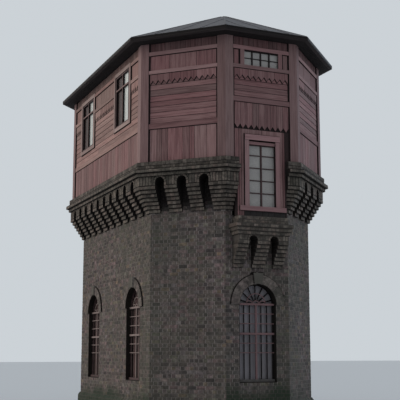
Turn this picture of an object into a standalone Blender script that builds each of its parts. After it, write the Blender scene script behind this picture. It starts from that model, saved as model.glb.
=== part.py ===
"""Water tower: an octagonal brick tower that carries a boarded timber tank house.

The plan is a rectangle with its four corners cut off at 45 degrees. The two
narrow end faces look south (-Y) and north (+Y), the two long faces west (-X)
and east (+X). Every wall piece is drawn on its own face in three numbers:
along (to the right, seen from outside), out (from the lower brick wall) and
up (from the ground). Metres, +Z up, origin in the middle of the plan.
"""

import math

import bmesh
import bpy
from mathutils import Vector

# Plan of the lower brick wall
HALF_WIDTH = 2.15
HALF_LENGTH = 4.18
CORNER_CUT = 1.34

# A mitre between two faces that meet at 45 degrees grows by this much per metre out
MITRE = math.tan(math.radians(22.5))

# Meshes that touch keep this gap, and corners closer than MERGE are one corner
GAP = 0.0003
MERGE = 0.00001

# Cutters run this far past what they cut
CUT_PAST = 0.10

# Brick tower, levels above the ground and distances out from the lower wall
COURSE = 0.0867
PLINTH_OUT = 0.07
PLINTH_TOP = 0.48
PLINTH_CHAMFER_TOP = 0.565
FLOOR_LEDGE = 4.55
WALL_THICK_LOW = 0.50
WALL_THICK_HIGH = 0.38

# Corbelled cornice
CORBEL_BOTTOM = 4.938
CORBEL_COURSES = 7
FRIEZE_OUT = 0.37
STRING_OUT = 0.43
TIP_OUT = 0.50
PARAPET_OUT = 0.41
SLOT_WIDTH = 0.242
SLOT_PITCH = 0.56
SLOT_TOP = 5.741
FRIEZE_TOP = 5.761
STRING_TOP = 5.845
TIP_TOP = 5.930
PARAPET_TOP = 6.111

# Brick base under the boarded bay on each end face
BAY_HALF = 0.64
BASE_BOTTOM = 3.60
BASE_COURSES = 7
BASE_OUT = 0.36
BASE_TIP_BOTTOM = 4.333
BASE_TIP_STEP = 0.03
BASE_TIP_COURSES = 3
BASE_TOP = 4.76
BASE_SLOT_X = 0.27
BASE_SLOT_WIDTH = 0.228
BASE_SLOT_TOP = 4.315

# Lower arched windows
ARCH_SILL = 0.995
ARCH_SPRING = 2.757
END_ARCH_HALF = 0.474
SIDE_ARCH_HALF = 0.50
SIDE_ARCH_X = 1.64
BAND_WIDTH = 0.215
BAND_OUT = 0.03
KEYSTONE_HALF = 0.13
KEYSTONE_FOOT_HALF = 0.10
KEYSTONE_RISE = 0.255
REVEAL = 0.08
ARCH_RIM = 0.05
ARCH_BAR = 0.04
ARCH_TRANSOM_TOP = 2.109
ARCH_SPRING_BAR = 0.07
INNER_GLASS = -0.175

# Boarded tank house
BOARD_OUT = 0.30
BOARD_THICK = 0.16
FRAME_OUT = 0.325
POST_WIDTH = 0.19
WALL_JUNCTION = 8.909
TRIM = (6.90, 7.01)
RAIL_END = (7.453, 7.54)
RAIL_LOW = (8.25, 8.333)
RAIL_HIGH = (8.713, 8.811)

# Upper windows: tall and small ones on the ends, a pair on each long face
TALL_HALF = 0.46
TALL_BOTTOM = 4.866
TALL_TOP = 6.69
TALL_SILL_HALF = 0.60
TALL_SILL_TOP = 4.966
TALL_GLASS_HALF = 0.332
TALL_GLASS = (5.026, 6.545)
TALL_REBATE = 0.03
SILL_REACH = 0.05
SMALL_HALF = 0.558
SMALL_GLASS_HALF = 0.453
SMALL_RIM = 0.012
SMALL_BAR = 0.03
SIDE_WINDOW_X = 1.53
SIDE_WINDOW_HALF = 0.66
SIDE_WINDOW = (7.30, 8.86)
SIDE_TRANSOM = 8.39
CASING = 0.10
SASH = 0.05
SASH_BACK = 0.05
SASH_THICK = 0.04

# Roof and eaves
EAVE_OUT = 0.67
EAVE_TOP = 9.165
ROOF_THICK = 0.06
HEAD_CLEARANCE = 0.006
SOFFIT_EDGE = 9.075
FASCIA_BACK = 0.01
RIDGE_Z = 10.38
RIDGE_HALF = 2.40

# Floors and glass
FLOOR_THICK = 0.14
UPPER_FLOOR_THICK = 0.20
GLASS_THICK = 0.006

FACES = ("south", "southeast", "east", "northeast", "north", "northwest", "west", "southwest")
END_HALF = HALF_WIDTH - CORNER_CUT
SIDE_HALF = HALF_LENGTH - CORNER_CUT
CHAMFER_HALF = CORNER_CUT / math.sqrt(2.0)
CHAMFER_REACH = (HALF_WIDTH + HALF_LENGTH - CORNER_CUT) / math.sqrt(2.0)


def clear_scene():
    """Empty the scene without closing the file."""
    for obj in list(bpy.data.objects):
        bpy.data.objects.remove(obj, do_unlink=True)


def make_material(name, colour, roughness, metallic=0.0):
    """One plain Principled material."""
    mat = bpy.data.materials.new(name)
    mat.use_nodes = True
    shader = mat.node_tree.nodes["Principled BSDF"]
    shader.inputs["Base Color"].default_value = (*colour, 1.0)
    shader.inputs["Roughness"].default_value = roughness
    shader.inputs["Metallic"].default_value = metallic
    return mat


def face_half(face):
    """Half length of a face of the lower wall."""
    if face in ("south", "north"):
        return END_HALF
    if face in ("east", "west"):
        return SIDE_HALF
    return CHAMFER_HALF


def place(face, along, out, up):
    """World point of (along, out, up) on a face."""
    angle = math.radians(45.0 * FACES.index(face))
    normal = Vector((math.sin(angle), -math.cos(angle), 0.0))
    tangent = Vector((math.cos(angle), math.sin(angle), 0.0))
    if face in ("south", "north"):
        reach = HALF_LENGTH
    elif face in ("east", "west"):
        reach = HALF_WIDTH
    else:
        reach = CHAMFER_REACH
        centre = Vector((math.copysign(HALF_WIDTH - CORNER_CUT / 2, normal.x),
                         math.copysign(HALF_LENGTH - CORNER_CUT / 2, normal.y), 0.0))
        return centre + normal * out + tangent * along + Vector((0.0, 0.0, up))
    return normal * (reach + out) + tangent * along + Vector((0.0, 0.0, up))


def mitre_along(face, out, side, gap=GAP):
    """Where the mitre at one end of a face lies, at a distance out."""
    return side * (face_half(face) + out * MITRE - gap)


def link(bm, name, mat=None):
    """Turn a bmesh into a named object, coincident corners merged and faces outward."""
    bmesh.ops.remove_doubles(bm, verts=bm.verts, dist=MERGE)
    bmesh.ops.recalc_face_normals(bm, faces=bm.faces)
    mesh = bpy.data.meshes.new(name)
    bm.to_mesh(mesh)
    bm.free()
    obj = bpy.data.objects.new(name, mesh)
    bpy.context.scene.collection.objects.link(obj)
    if mat is not None:
        mesh.materials.append(mat)
    return obj


def sweep(name, rings, mat=None):
    """A solid skinned over rings of points, each ring having the same count."""
    bm = bmesh.new()
    skin(bm, rings)
    return link(bm, name, mat)


def skin(bm, rings):
    """Add one closed solid over rings of points."""
    loops = [[bm.verts.new(point) for point in ring] for ring in rings]
    bm.faces.new(loops[0])
    bm.faces.new(loops[-1])
    for near, far in zip(loops, loops[1:]):
        for i in range(len(near)):
            bm.faces.new((near[i - 1], near[i], far[i], far[i - 1]))


def mitred(name, face, outline, mat=None):
    """A wall piece with an (out, up) outline, mitred against both neighbours."""
    rings = [[place(face, mitre_along(face, out, side), out, up) for out, up in outline]
             for side in (-1, 1)]
    return sweep(name, rings, mat)


def block(name, face, along, out, up, mat=None):
    """A box on a face, each argument a (low, high) pair."""
    rings = [[place(face, a, out[i], up[j]) for i, j in ((0, 0), (1, 0), (1, 1), (0, 1))]
             for a in along]
    return sweep(name, rings, mat)


def arch_outline(middle, half, sill, spring, steps=12):
    """Outline (along, up) of an opening with a half-round head."""
    head = [(middle + half * math.cos(math.pi * i / steps), spring + half * math.sin(math.pi * i / steps))
            for i in range(steps + 1)]
    return [(middle - half, sill), (middle + half, sill)] + head


def prism(name, face, outline, out, mat=None):
    """A solid with an (along, up) outline, running between two distances out."""
    rings = [[place(face, along, distance, up) for along, up in outline] for distance in out]
    return sweep(name, rings, mat)


def punch(name, face, outlines, out):
    """One cutter object made of several (along, up) outlines drawn through a wall."""
    bm = bmesh.new()
    for outline in outlines:
        skin(bm, [[place(face, along, distance, up) for along, up in outline] for distance in out])
    return link(bm, name)


def rectangle(low, high, down, up):
    """Outline (along, up) of an upright rectangle."""
    return [(low, down), (high, down), (high, up), (low, up)]


def boolean(target, tool, operation):
    """Cut or join a target with a hidden tool object."""
    tool.hide_render = True
    tool.display_type = "WIRE"
    modifier = target.modifiers.new(operation.lower() + "_" + tool.name, "BOOLEAN")
    modifier.operation = operation
    modifier.solver = "EXACT"
    modifier.object = tool
    tool.parent = target


def cut(target, tool):
    boolean(target, tool, "DIFFERENCE")


def join(target, tool):
    boolean(target, tool, "UNION")


def lower_windows(face):
    """(middle, half width) of the arched windows of a face."""
    if face in ("south", "north"):
        return [(0.0, END_ARCH_HALF)]
    if face in ("east", "west"):
        return [(-SIDE_ARCH_X, SIDE_ARCH_HALF), (SIDE_ARCH_X, SIDE_ARCH_HALF)]
    return []


def brick_wall(face, mat):
    """Lower wall with plinth and floor ledge, its windows cut and banded."""
    inner = -WALL_THICK_LOW
    outline = [(PLINTH_OUT, 0.0), (PLINTH_OUT, PLINTH_TOP), (0.0, PLINTH_CHAMFER_TOP),
               (0.0, PARAPET_TOP), (-WALL_THICK_HIGH, PARAPET_TOP), (-WALL_THICK_HIGH, FLOOR_LEDGE),
               (inner, FLOOR_LEDGE), (inner, 0.0)]
    wall = mitred("brick_wall_" + face, face, outline, mat)
    for index, (middle, half) in enumerate(lower_windows(face)):
        tag = "_%s_%d" % (face, index)
        band_outer = half + BAND_WIDTH
        band = prism("band" + tag, face, arch_outline(middle, band_outer, ARCH_SPRING, ARCH_SPRING, 16)[2:],
                     (-CUT_PAST, BAND_OUT))
        join(wall, band)
        crown = ARCH_SPRING + half
        corners = ((-KEYSTONE_FOOT_HALF, -BAND_OUT), (KEYSTONE_FOOT_HALF, -BAND_OUT),
                   (KEYSTONE_HALF, KEYSTONE_RISE), (-KEYSTONE_HALF, KEYSTONE_RISE))
        wedge = [(middle + along, crown + up) for along, up in corners]
        join(wall, prism("keystone" + tag, face, wedge, (-CUT_PAST, BAND_OUT * 2)))
        opening = prism("opening" + tag, face, arch_outline(middle, half, ARCH_SILL, ARCH_SPRING),
                        (inner - CUT_PAST, PLINTH_OUT + CUT_PAST))
        cut(wall, opening)
    if face in ("south", "north"):
        notch = block("bay_notch_" + face, face, (-BAY_HALF, BAY_HALF), (inner - CUT_PAST, CUT_PAST),
                      (BASE_TOP, PARAPET_TOP + CUT_PAST))
        cut(wall, notch)
    return wall


def cornice_outline():
    """Outline (out, up) of the corbels, frieze, string course and parapet."""
    points = [(GAP, CORBEL_BOTTOM)]
    for step in range(CORBEL_COURSES):
        out = FRIEZE_OUT * (step + 1) / CORBEL_COURSES
        bottom = CORBEL_BOTTOM + step * COURSE
        points += [(out, bottom), (out, bottom + COURSE)]
    points[-1] = (FRIEZE_OUT, FRIEZE_TOP)
    points += [(STRING_OUT, FRIEZE_TOP), (STRING_OUT, STRING_TOP), (TIP_OUT, STRING_TOP), (TIP_OUT, TIP_TOP),
               (PARAPET_OUT, TIP_TOP), (PARAPET_OUT, PARAPET_TOP), (GAP, PARAPET_TOP)]
    return points


def slot_cutter(name, face, middles, width, bottom, top, reach):
    """One cutter object for a row of arch-headed slots."""
    outlines = [arch_outline(middle, width / 2, bottom, top - width / 2, 8) for middle in middles]
    return punch(name, face, outlines, (-CUT_PAST, reach + CUT_PAST))


def slot_middles(count):
    """Places of a row of slots about the middle of a face."""
    return [(index - (count - 1) / 2) * SLOT_PITCH for index in range(count)]


def long_cornice(face, mat):
    """Cornice of a long face, ten slots between eleven corbels."""
    cornice = mitred("cornice_" + face, face, cornice_outline(), mat)
    cutter = slot_cutter("cornice_slots_" + face, face, slot_middles(10), SLOT_WIDTH,
                         CORBEL_BOTTOM - CUT_PAST, SLOT_TOP, TIP_OUT)
    cut(cornice, cutter)
    return cornice


def corner_cornice(face, end_face, mat):
    """Cornice of a chamfer, with a short return along the end face."""
    outline = cornice_outline()
    # The end face lies to the left of a southeast or northwest chamfer, else to the right
    side = -1 if (FACES.index(face) - FACES.index(end_face)) % 8 == 1 else 1
    far = [place(face, mitre_along(face, out, -side), out, up) for out, up in outline]
    corner = [place(face, mitre_along(face, out, side, 0.0), out, up) for out, up in outline]
    stub = [place(end_face, -side * (BAY_HALF + GAP), out, up) for out, up in outline]
    cornice = sweep("cornice_" + face, [far, corner, stub], mat)
    cutter = slot_cutter("cornice_slots_" + face, face, slot_middles(3), SLOT_WIDTH,
                         CORBEL_BOTTOM - CUT_PAST, SLOT_TOP, TIP_OUT)
    cut(cornice, cutter)
    return cornice


def bay_base(face, mat):
    """Corbelled brick base that carries the boarded bay, with oversailing courses near its top."""
    outline = [(GAP, BASE_BOTTOM)]
    for step in range(BASE_COURSES):
        out = BASE_OUT * (step + 1) / BASE_COURSES
        bottom = BASE_BOTTOM + step * COURSE
        outline += [(out, bottom), (out, bottom + COURSE)]
    outline[-1] = (BASE_OUT, BASE_TOP)
    outline.append((GAP, BASE_TOP))
    rings = [[place(face, along, out, up) for out, up in outline] for along in (-BAY_HALF, BAY_HALF)]
    base = sweep("bay_base_" + face, rings, mat)
    tips = [(-BASE_TIP_STEP, BASE_TIP_BOTTOM)]
    for step in range(BASE_TIP_COURSES):
        over = BASE_TIP_STEP * (step + 1)
        bottom = BASE_TIP_BOTTOM + step * COURSE
        tips += [(over, bottom), (over, bottom + COURSE)]
    tips.append((-BASE_TIP_STEP, tips[-1][1]))
    # The courses run round three sides: out along one flank, across the front and back
    stops = ((-1, False), (-1, True), (1, True), (1, False))
    rings = [[place(face, side * (BAY_HALF + over), BASE_OUT + over if front else GAP, up)
              for over, up in tips] for side, front in stops]
    join(base, sweep("bay_tips_" + face, rings))
    cutter = slot_cutter("bay_slots_" + face, face, (-BASE_SLOT_X, BASE_SLOT_X), BASE_SLOT_WIDTH,
                         BASE_BOTTOM - CUT_PAST, BASE_SLOT_TOP, BASE_OUT)
    cut(base, cutter)
    return base


def roof_slope(face):
    """Rise over run of the roof above a face."""
    rise = RIDGE_Z - EAVE_TOP
    if face in ("east", "west"):
        return rise / (HALF_WIDTH + EAVE_OUT)
    if face in ("south", "north"):
        return rise / (HALF_LENGTH + EAVE_OUT - RIDGE_HALF)
    return rise / (CHAMFER_REACH + EAVE_OUT - RIDGE_HALF / math.sqrt(2.0))


def wall_head(face):
    """Top of a board wall, under the lowest of the roof slopes that meet above it."""
    index = FACES.index(face)
    slope = min(roof_slope(FACES[(index + turn) % 8]) for turn in (-1, 0, 1))
    return EAVE_TOP - ROOF_THICK + (EAVE_OUT - BOARD_OUT) * slope - HEAD_CLEARANCE


def upper_openings(face):
    """(middle, half width, bottom, top) of the upper window holes of a face."""
    if face in ("south", "north"):
        return [(0.0, TALL_HALF - CASING / 2, TALL_BOTTOM + CASING / 2, TALL_TOP - CASING / 2),
                (0.0, SMALL_HALF - CASING / 2, RAIL_LOW[1], RAIL_HIGH[0])]
    if face in ("east", "west"):
        hole = (SIDE_WINDOW_HALF - CASING / 2, SIDE_WINDOW[0] + CASING / 2, SIDE_WINDOW[1] - CASING / 2)
        return [(-SIDE_WINDOW_X, *hole), (SIDE_WINDOW_X, *hole)]
    return []


def board_wall(face, mat):
    """Timber wall of the tank house; the end walls run down into the bay."""
    is_end = face in ("south", "north")
    bottom = (BASE_TOP if is_end else PARAPET_TOP) + GAP
    inner = BOARD_OUT - BOARD_THICK
    outline = [(inner, bottom), (BOARD_OUT, bottom), (BOARD_OUT, wall_head(face)), (inner, wall_head(face))]
    wall = mitred("board_wall_" + face, face, outline, mat)
    for index, (middle, half, low, high) in enumerate(upper_openings(face)):
        hole = block("hole_%s_%d" % (face, index), face, (middle - half, middle + half),
                     (inner - CUT_PAST, BOARD_OUT + CUT_PAST), (low, high))
        cut(wall, hole)
    if is_end:
        for side in (-1, 1):
            cheek = block("cheek_%s_%d" % (face, side), face,
                          sorted((side * (BAY_HALF - GAP), side * (END_HALF + BOARD_OUT))),
                          (inner - CUT_PAST, BOARD_OUT + CUT_PAST), (BASE_TOP - CUT_PAST, PARAPET_TOP + GAP))
            cut(wall, cheek)
    return wall


def frame_bays(face):
    """Outlines of the bays that a face's posts, rails and casings leave open."""
    edge = face_half(face) + BOARD_OUT * MITRE - POST_WIDTH
    foot = PARAPET_TOP - CUT_PAST
    head = WALL_JUNCTION + CUT_PAST
    if face in ("south", "north"):
        bays = [rectangle(-edge, edge, foot, RAIL_END[0]), rectangle(-edge, edge, RAIL_END[1], RAIL_LOW[0]),
                rectangle(-edge, edge, RAIL_HIGH[1], head)]
        stops = (-edge, -SMALL_HALF, -SMALL_GLASS_HALF, SMALL_GLASS_HALF, SMALL_HALF, edge)
        return bays + row_bays(stops)
    bays = [rectangle(-edge, edge, foot, TRIM[0])]
    if face not in ("east", "west"):
        return bays + [rectangle(-edge, edge, TRIM[1], RAIL_LOW[0]),
                       rectangle(-edge, edge, RAIL_LOW[1], RAIL_HIGH[0]),
                       rectangle(-edge, edge, RAIL_HIGH[1], head)]
    inner = SIDE_WINDOW_X - SIDE_WINDOW_HALF
    outer = SIDE_WINDOW_X + SIDE_WINDOW_HALF
    stops = (-edge, -outer, -inner, inner, outer, edge)
    bays.append([(-edge, TRIM[1]), (edge, TRIM[1])] + comb(stops, RAIL_LOW[0], SIDE_WINDOW[0]))
    bays += row_bays(stops)
    bays.append([(-edge, head), (edge, head)] + comb(stops, RAIL_HIGH[1], SIDE_WINDOW[1]))
    for side in (-1, 1):
        middle = side * SIDE_WINDOW_X
        bays.append(rectangle(middle - SIDE_WINDOW_HALF + CASING, middle + SIDE_WINDOW_HALF - CASING,
                              SIDE_WINDOW[0] + CASING, SIDE_WINDOW[1] - CASING))
    return bays


def row_bays(stops):
    """The bays between the two upper rails, one for each pair of stops."""
    return [rectangle(low, high, RAIL_LOW[1], RAIL_HIGH[0]) for low, high in zip(stops[::2], stops[1::2])]


def comb(stops, rail, casing):
    """Right-to-left edge of a bay that follows the rail and steps round two casings."""
    low, left_out, left_in, right_in, right_out, high = stops
    return [(high, rail), (right_out, rail), (right_out, casing), (right_in, casing), (right_in, rail),
            (left_in, rail), (left_in, casing), (left_out, casing), (left_out, rail), (low, rail)]


def timber_frame(face, mat):
    """Corner flanges, rails and casings of a face, nailed together on the boards."""
    bottom = PARAPET_TOP + GAP
    top = WALL_JUNCTION - GAP
    back = BOARD_OUT + GAP
    outline = [(back, bottom), (FRAME_OUT, bottom), (FRAME_OUT, top), (back, top)]
    frame = mitred("timber_frame_" + face, face, outline, mat)
    cut(frame, punch("frame_bays_" + face, face, frame_bays(face),
                     (back - CUT_PAST, FRAME_OUT + CUT_PAST)))
    return frame


def lattice(name, face, frame_box, holes, out, mat):
    """A flat frame with rectangular holes, for sashes and their bars."""
    low, high, down, up = frame_box
    body = block(name, face, (low, high), out, (down, up), mat)
    cut(body, punch(name + "_holes", face, [rectangle(*hole) for hole in holes],
                    (out[0] - CUT_PAST, out[1] + CUT_PAST)))
    return body


def grid(low, high, down, up, columns, rows, bar):
    """Pane holes of an even grid with bars between them."""
    width = (high - low - bar * (columns - 1)) / columns
    height = (up - down - bar * (rows - 1)) / rows
    return [(low + i * (width + bar), low + i * (width + bar) + width,
             down + j * (height + bar), down + j * (height + bar) + height)
            for i in range(columns) for j in range(rows)]


def side_window(face, side, mat):
    """Sash of a long face's upper window: a mullion and one high transom."""
    middle = side * SIDE_WINDOW_X
    half = SIDE_WINDOW_HALF - CASING / 2 - GAP
    down = SIDE_WINDOW[0] + CASING / 2 + GAP
    up = SIDE_WINDOW[1] - CASING / 2 - GAP
    rim = CASING / 2 + SASH
    inside = (middle - half + rim, middle + half - rim)
    holes = grid(*inside, down + rim, SIDE_TRANSOM - SASH / 2, 2, 1, SASH)
    holes += grid(*inside, SIDE_TRANSOM + SASH / 2, up - rim, 2, 1, SASH)
    front = BOARD_OUT - SASH_BACK
    return lattice("side_window_%s_%s" % (face, "left" if side < 0 else "right"), face,
                   (middle - half, middle + half, down, up), holes, (front - SASH_THICK, front), mat)


def tall_window(face, mat):
    """Casing, sill and two by five panes of the bay window."""
    half = TALL_HALF - CASING / 2 - GAP
    down = TALL_BOTTOM + CASING / 2 + GAP
    up = TALL_TOP - CASING / 2 - GAP
    holes = grid(-TALL_GLASS_HALF, TALL_GLASS_HALF, *TALL_GLASS, 2, 5, SASH / 2)
    front = BOARD_OUT + GAP
    window = lattice("tall_window_" + face, face, (-half, half, down, up), holes,
                     (BOARD_OUT - SASH_THICK, front), mat)
    rim = block("tall_casing_" + face, face, (-TALL_HALF, TALL_HALF), (BOARD_OUT + GAP, FRAME_OUT),
                (TALL_BOTTOM, TALL_TOP))
    join(window, rim)
    reach = TALL_GLASS_HALF + TALL_REBATE
    light = block("tall_light_" + face, face, (-reach, reach), (BOARD_OUT, FRAME_OUT + CUT_PAST),
                  (TALL_GLASS[0] - TALL_REBATE, TALL_GLASS[1] + TALL_REBATE))
    cut(window, light)
    sill = block("tall_sill_" + face, face, (-TALL_SILL_HALF, TALL_SILL_HALF),
                 (BOARD_OUT + GAP, FRAME_OUT + SILL_REACH), (TALL_BOTTOM, TALL_SILL_TOP))
    join(window, sill)
    return window


def small_window(face, mat):
    """Four by two panes between the two upper rails."""
    half = SMALL_HALF - CASING / 2 - GAP
    down = RAIL_LOW[1] + GAP
    up = RAIL_HIGH[0] - GAP
    holes = grid(-SMALL_GLASS_HALF, SMALL_GLASS_HALF, down + SMALL_RIM, up - SMALL_RIM, 4, 2, SMALL_BAR)
    return lattice("small_window_" + face, face, (-half, half, down, up), holes,
                   (BOARD_OUT - SASH_THICK, BOARD_OUT), mat)


def lower_suffix(face, index):
    """Ending that tells the two arched windows of a long face apart."""
    return "" if face in ("south", "north") else ("_left", "_right")[index]


def arched_window(name, face, middle, half, mat):
    """Window in an arched opening: mullion, transoms and a plain fanlight."""
    out = (-REVEAL - SASH_THICK, -REVEAL)
    edge = half - GAP
    window = prism(name, face, arch_outline(middle, edge, ARCH_SILL + GAP, ARCH_SPRING), out, mat)
    inside = (middle - edge + ARCH_RIM, middle + edge - ARCH_RIM)
    holes = grid(*inside, ARCH_SILL + ARCH_RIM, ARCH_TRANSOM_TOP - ARCH_BAR, 2, 1, ARCH_BAR)
    holes += grid(*inside, ARCH_TRANSOM_TOP, ARCH_SPRING - ARCH_SPRING_BAR, 2, 1, ARCH_BAR)
    outlines = [rectangle(*hole) for hole in holes]
    radius = edge - ARCH_RIM
    start = math.asin(ARCH_BAR / 2 / radius)
    for side in (-1, 1):
        quarter = [start + (math.pi / 2 - start) * i / 6 for i in range(7)]
        outlines.append([(middle + side * ARCH_BAR / 2, ARCH_SPRING)] +
                        [(middle + side * radius * math.sin(angle), ARCH_SPRING + radius * math.cos(angle))
                         for angle in quarter])
    cut(window, punch(name + "_holes", face, outlines, (out[0] - CUT_PAST, out[1] + CUT_PAST)))
    return window


def upper_glass(face, reach, up, mat):
    """A thin sheet inside a board wall that closes its windows."""
    out = BOARD_OUT - BOARD_THICK - GAP
    return block("upper_glass_" + face, face, (-reach, reach), (out - GLASS_THICK, out), up, mat)


def octagon_points(out, up):
    """The eight corners of the plan at a distance out."""
    return [place(face, mitre_along(face, out, 1, 0.0), out, up) for face in FACES]


def floor_slab(name, out, low, high, mat):
    """An eight-sided floor between the walls."""
    return sweep(name, [octagon_points(out, low), octagon_points(out, high)], mat)


def eaves(mat):
    """Boxed eaves: sloping soffit boards and fascia, all round the wall head."""
    inner = BOARD_OUT + GAP
    lean = min(roof_slope(face) for face in FACES)
    edge = EAVE_OUT - FASCIA_BACK
    under_roof = EAVE_TOP - ROOF_THICK + FASCIA_BACK * lean - GAP
    head = under_roof + (edge - inner) * lean
    section = [(inner, WALL_JUNCTION), (edge, SOFFIT_EDGE), (edge, under_roof), (inner, head)]
    bm = bmesh.new()
    loops = [[bm.verts.new(point) for point in octagon_points(out, up)] for out, up in section]
    for k, loop in enumerate(loops):
        following = loops[(k + 1) % len(loops)]
        for i in range(8):
            j = (i + 1) % 8
            bm.faces.new((loop[i], loop[j], following[j], following[i]))
    return link(bm, "eaves", mat)


def roof(mat):
    """Low hipped roof of eight slopes, an even skin with an open underside."""
    bm = bmesh.new()
    outer = [bm.verts.new(point) for point in octagon_points(EAVE_OUT, EAVE_TOP)]
    ridge = [bm.verts.new((0.0, y, RIDGE_Z)) for y in (-RIDGE_HALF, RIDGE_HALF)]
    # Corner i lies between face i and face i + 1, so face i runs from corner i - 1 to corner i
    for i, face in enumerate(FACES):
        start, stop = outer[i - 1], outer[i]
        if face == "east":
            bm.faces.new((start, stop, ridge[1], ridge[0]))
        elif face == "west":
            bm.faces.new((start, stop, ridge[0], ridge[1]))
        else:
            bm.faces.new((start, stop, ridge[0] if "south" in face else ridge[1]))
    top = list(bm.faces)
    grown = bmesh.ops.extrude_face_region(bm, geom=top, use_keep_orig=True)
    verts = [item for item in grown["geom"] if isinstance(item, bmesh.types.BMVert)]
    bmesh.ops.translate(bm, verts=verts, vec=(0.0, 0.0, -ROOF_THICK))
    return link(bm, "roof", mat)


def build():
    clear_scene()
    brick = make_material("brick", (0.20, 0.17, 0.15), 0.9)
    timber = make_material("red_boards", (0.25, 0.13, 0.12), 0.8)
    trim = make_material("red_trim", (0.29, 0.16, 0.15), 0.75)
    sash = make_material("window_paint", (0.33, 0.22, 0.21), 0.6)
    glass = make_material("window_glass", (0.25, 0.27, 0.28), 0.1)
    sheet = make_material("roof_sheet", (0.22, 0.23, 0.24), 0.6, 0.3)
    dark = make_material("eave_boards", (0.06, 0.055, 0.055), 0.8)
    slab = make_material("ground_slab", (0.40, 0.39, 0.37), 0.9)
    planks = make_material("floor_planks", (0.35, 0.27, 0.20), 0.8)

    floor_slab("ground_floor", -WALL_THICK_LOW - GAP, 0.0, FLOOR_THICK, slab)
    floor_slab("tank_floor", -WALL_THICK_HIGH - GAP, FLOOR_LEDGE + GAP,
               FLOOR_LEDGE + UPPER_FLOOR_THICK, planks)
    for face in FACES:
        brick_wall(face, brick)
        board_wall(face, timber)
        timber_frame(face, trim)
    for face in ("east", "west"):
        long_cornice(face, brick)
    for face in ("southeast", "northeast", "northwest", "southwest"):
        end_face = "south" if face.startswith("south") else "north"
        corner_cornice(face, end_face, brick)
    for face in ("south", "north"):
        bay_base(face, brick)
        tall_window(face, sash)
        small_window(face, sash)
    for face in ("south", "east", "north", "west"):
        for index, (middle, half) in enumerate(lower_windows(face)):
            suffix = face + lower_suffix(face, index)
            arched_window("arched_window_" + suffix, face, middle, half, sash)
            pane = arch_outline(middle, half - GAP, ARCH_SILL + GAP, ARCH_SPRING)
            prism("lower_glass_" + suffix, face, pane, (INNER_GLASS - GLASS_THICK, INNER_GLASS), glass)
        if face in ("east", "west"):
            for side in (-1, 1):
                side_window(face, side, sash)
            upper_glass(face, SIDE_WINDOW_X + SIDE_WINDOW_HALF, SIDE_WINDOW, glass)
        else:
            upper_glass(face, SMALL_HALF, (TALL_BOTTOM, RAIL_HIGH[1]), glass)
    eaves(dark)
    roof(sheet)


build()
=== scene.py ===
# %% [markdown]
# # A brick and timber water tower
#
# The tower is an elongated octagon: a rectangle with its four corners cut off. Its brick trunk
# carries a corbelled cornice, and on that stands a boarded tank house under a low hipped roof.
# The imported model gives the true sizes. This lesson dresses it: each brick course, board, rail,
# muntin and roof seam is laid on the solid that carries it.

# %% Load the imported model
import math
import random

import bmesh
import bpy
from mathutils import Matrix, Vector


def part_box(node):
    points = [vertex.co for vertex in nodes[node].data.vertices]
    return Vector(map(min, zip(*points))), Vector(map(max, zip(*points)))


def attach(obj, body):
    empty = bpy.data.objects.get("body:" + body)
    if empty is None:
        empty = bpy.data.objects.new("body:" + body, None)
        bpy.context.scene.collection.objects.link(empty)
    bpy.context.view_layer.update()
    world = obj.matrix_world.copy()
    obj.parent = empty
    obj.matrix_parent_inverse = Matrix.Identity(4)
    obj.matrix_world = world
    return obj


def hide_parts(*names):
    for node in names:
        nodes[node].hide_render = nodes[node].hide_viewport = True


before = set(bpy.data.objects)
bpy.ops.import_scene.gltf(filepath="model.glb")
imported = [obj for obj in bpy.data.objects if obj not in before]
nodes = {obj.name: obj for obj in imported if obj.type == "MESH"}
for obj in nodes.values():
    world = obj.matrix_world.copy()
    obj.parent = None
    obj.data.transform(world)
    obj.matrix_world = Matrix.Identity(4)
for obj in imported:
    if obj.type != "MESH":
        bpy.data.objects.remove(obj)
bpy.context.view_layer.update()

# %% [markdown]
# ## Sizes
#
# A wall is easiest to draw flat. Each of the eight faces gets its own three axes: along (to the
# right, seen from outside), up, and out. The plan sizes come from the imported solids, so a brick
# or a board can't miss the wall that carries it.

# %% Sizes read from the frame
FACES = ("south", "southeast", "east", "northeast", "north", "northwest", "west", "southwest")
ENDS = ("south", "north")
SIDES = ("east", "west")
CHAMFERS = FACES[1::2]
MITRE = math.tan(math.radians(22.5))
PLINTH_OUT = 0.07

HALF_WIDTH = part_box("brick_wall_east")[1].x - PLINTH_OUT
HALF_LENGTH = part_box("brick_wall_north")[1].y - PLINTH_OUT
END_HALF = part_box("brick_wall_north")[1].x - PLINTH_OUT * MITRE
CORNER_CUT = HALF_WIDTH - END_HALF
SIDE_HALF = HALF_LENGTH - CORNER_CUT
CHAMFER_HALF = CORNER_CUT / math.sqrt(2.0)
BOARD_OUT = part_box("board_wall_east")[1].x - HALF_WIDTH
PARAPET_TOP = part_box("brick_wall_east")[1].z
CORBEL_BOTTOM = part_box("cornice_east")[0].z
TIP_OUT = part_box("cornice_east")[1].x - HALF_WIDTH
BASE_BOTTOM, BASE_TOP = (corner.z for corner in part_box("bay_base_south"))
print("plan", round(HALF_WIDTH, 3), round(HALF_LENGTH, 3), "corner cut", round(CORNER_CUT, 3))


# %% A wall's own axes
def face_half(face):
    """Half length of a face of the lower wall."""
    if face in ENDS:
        return END_HALF
    return SIDE_HALF if face in SIDES else CHAMFER_HALF


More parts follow.
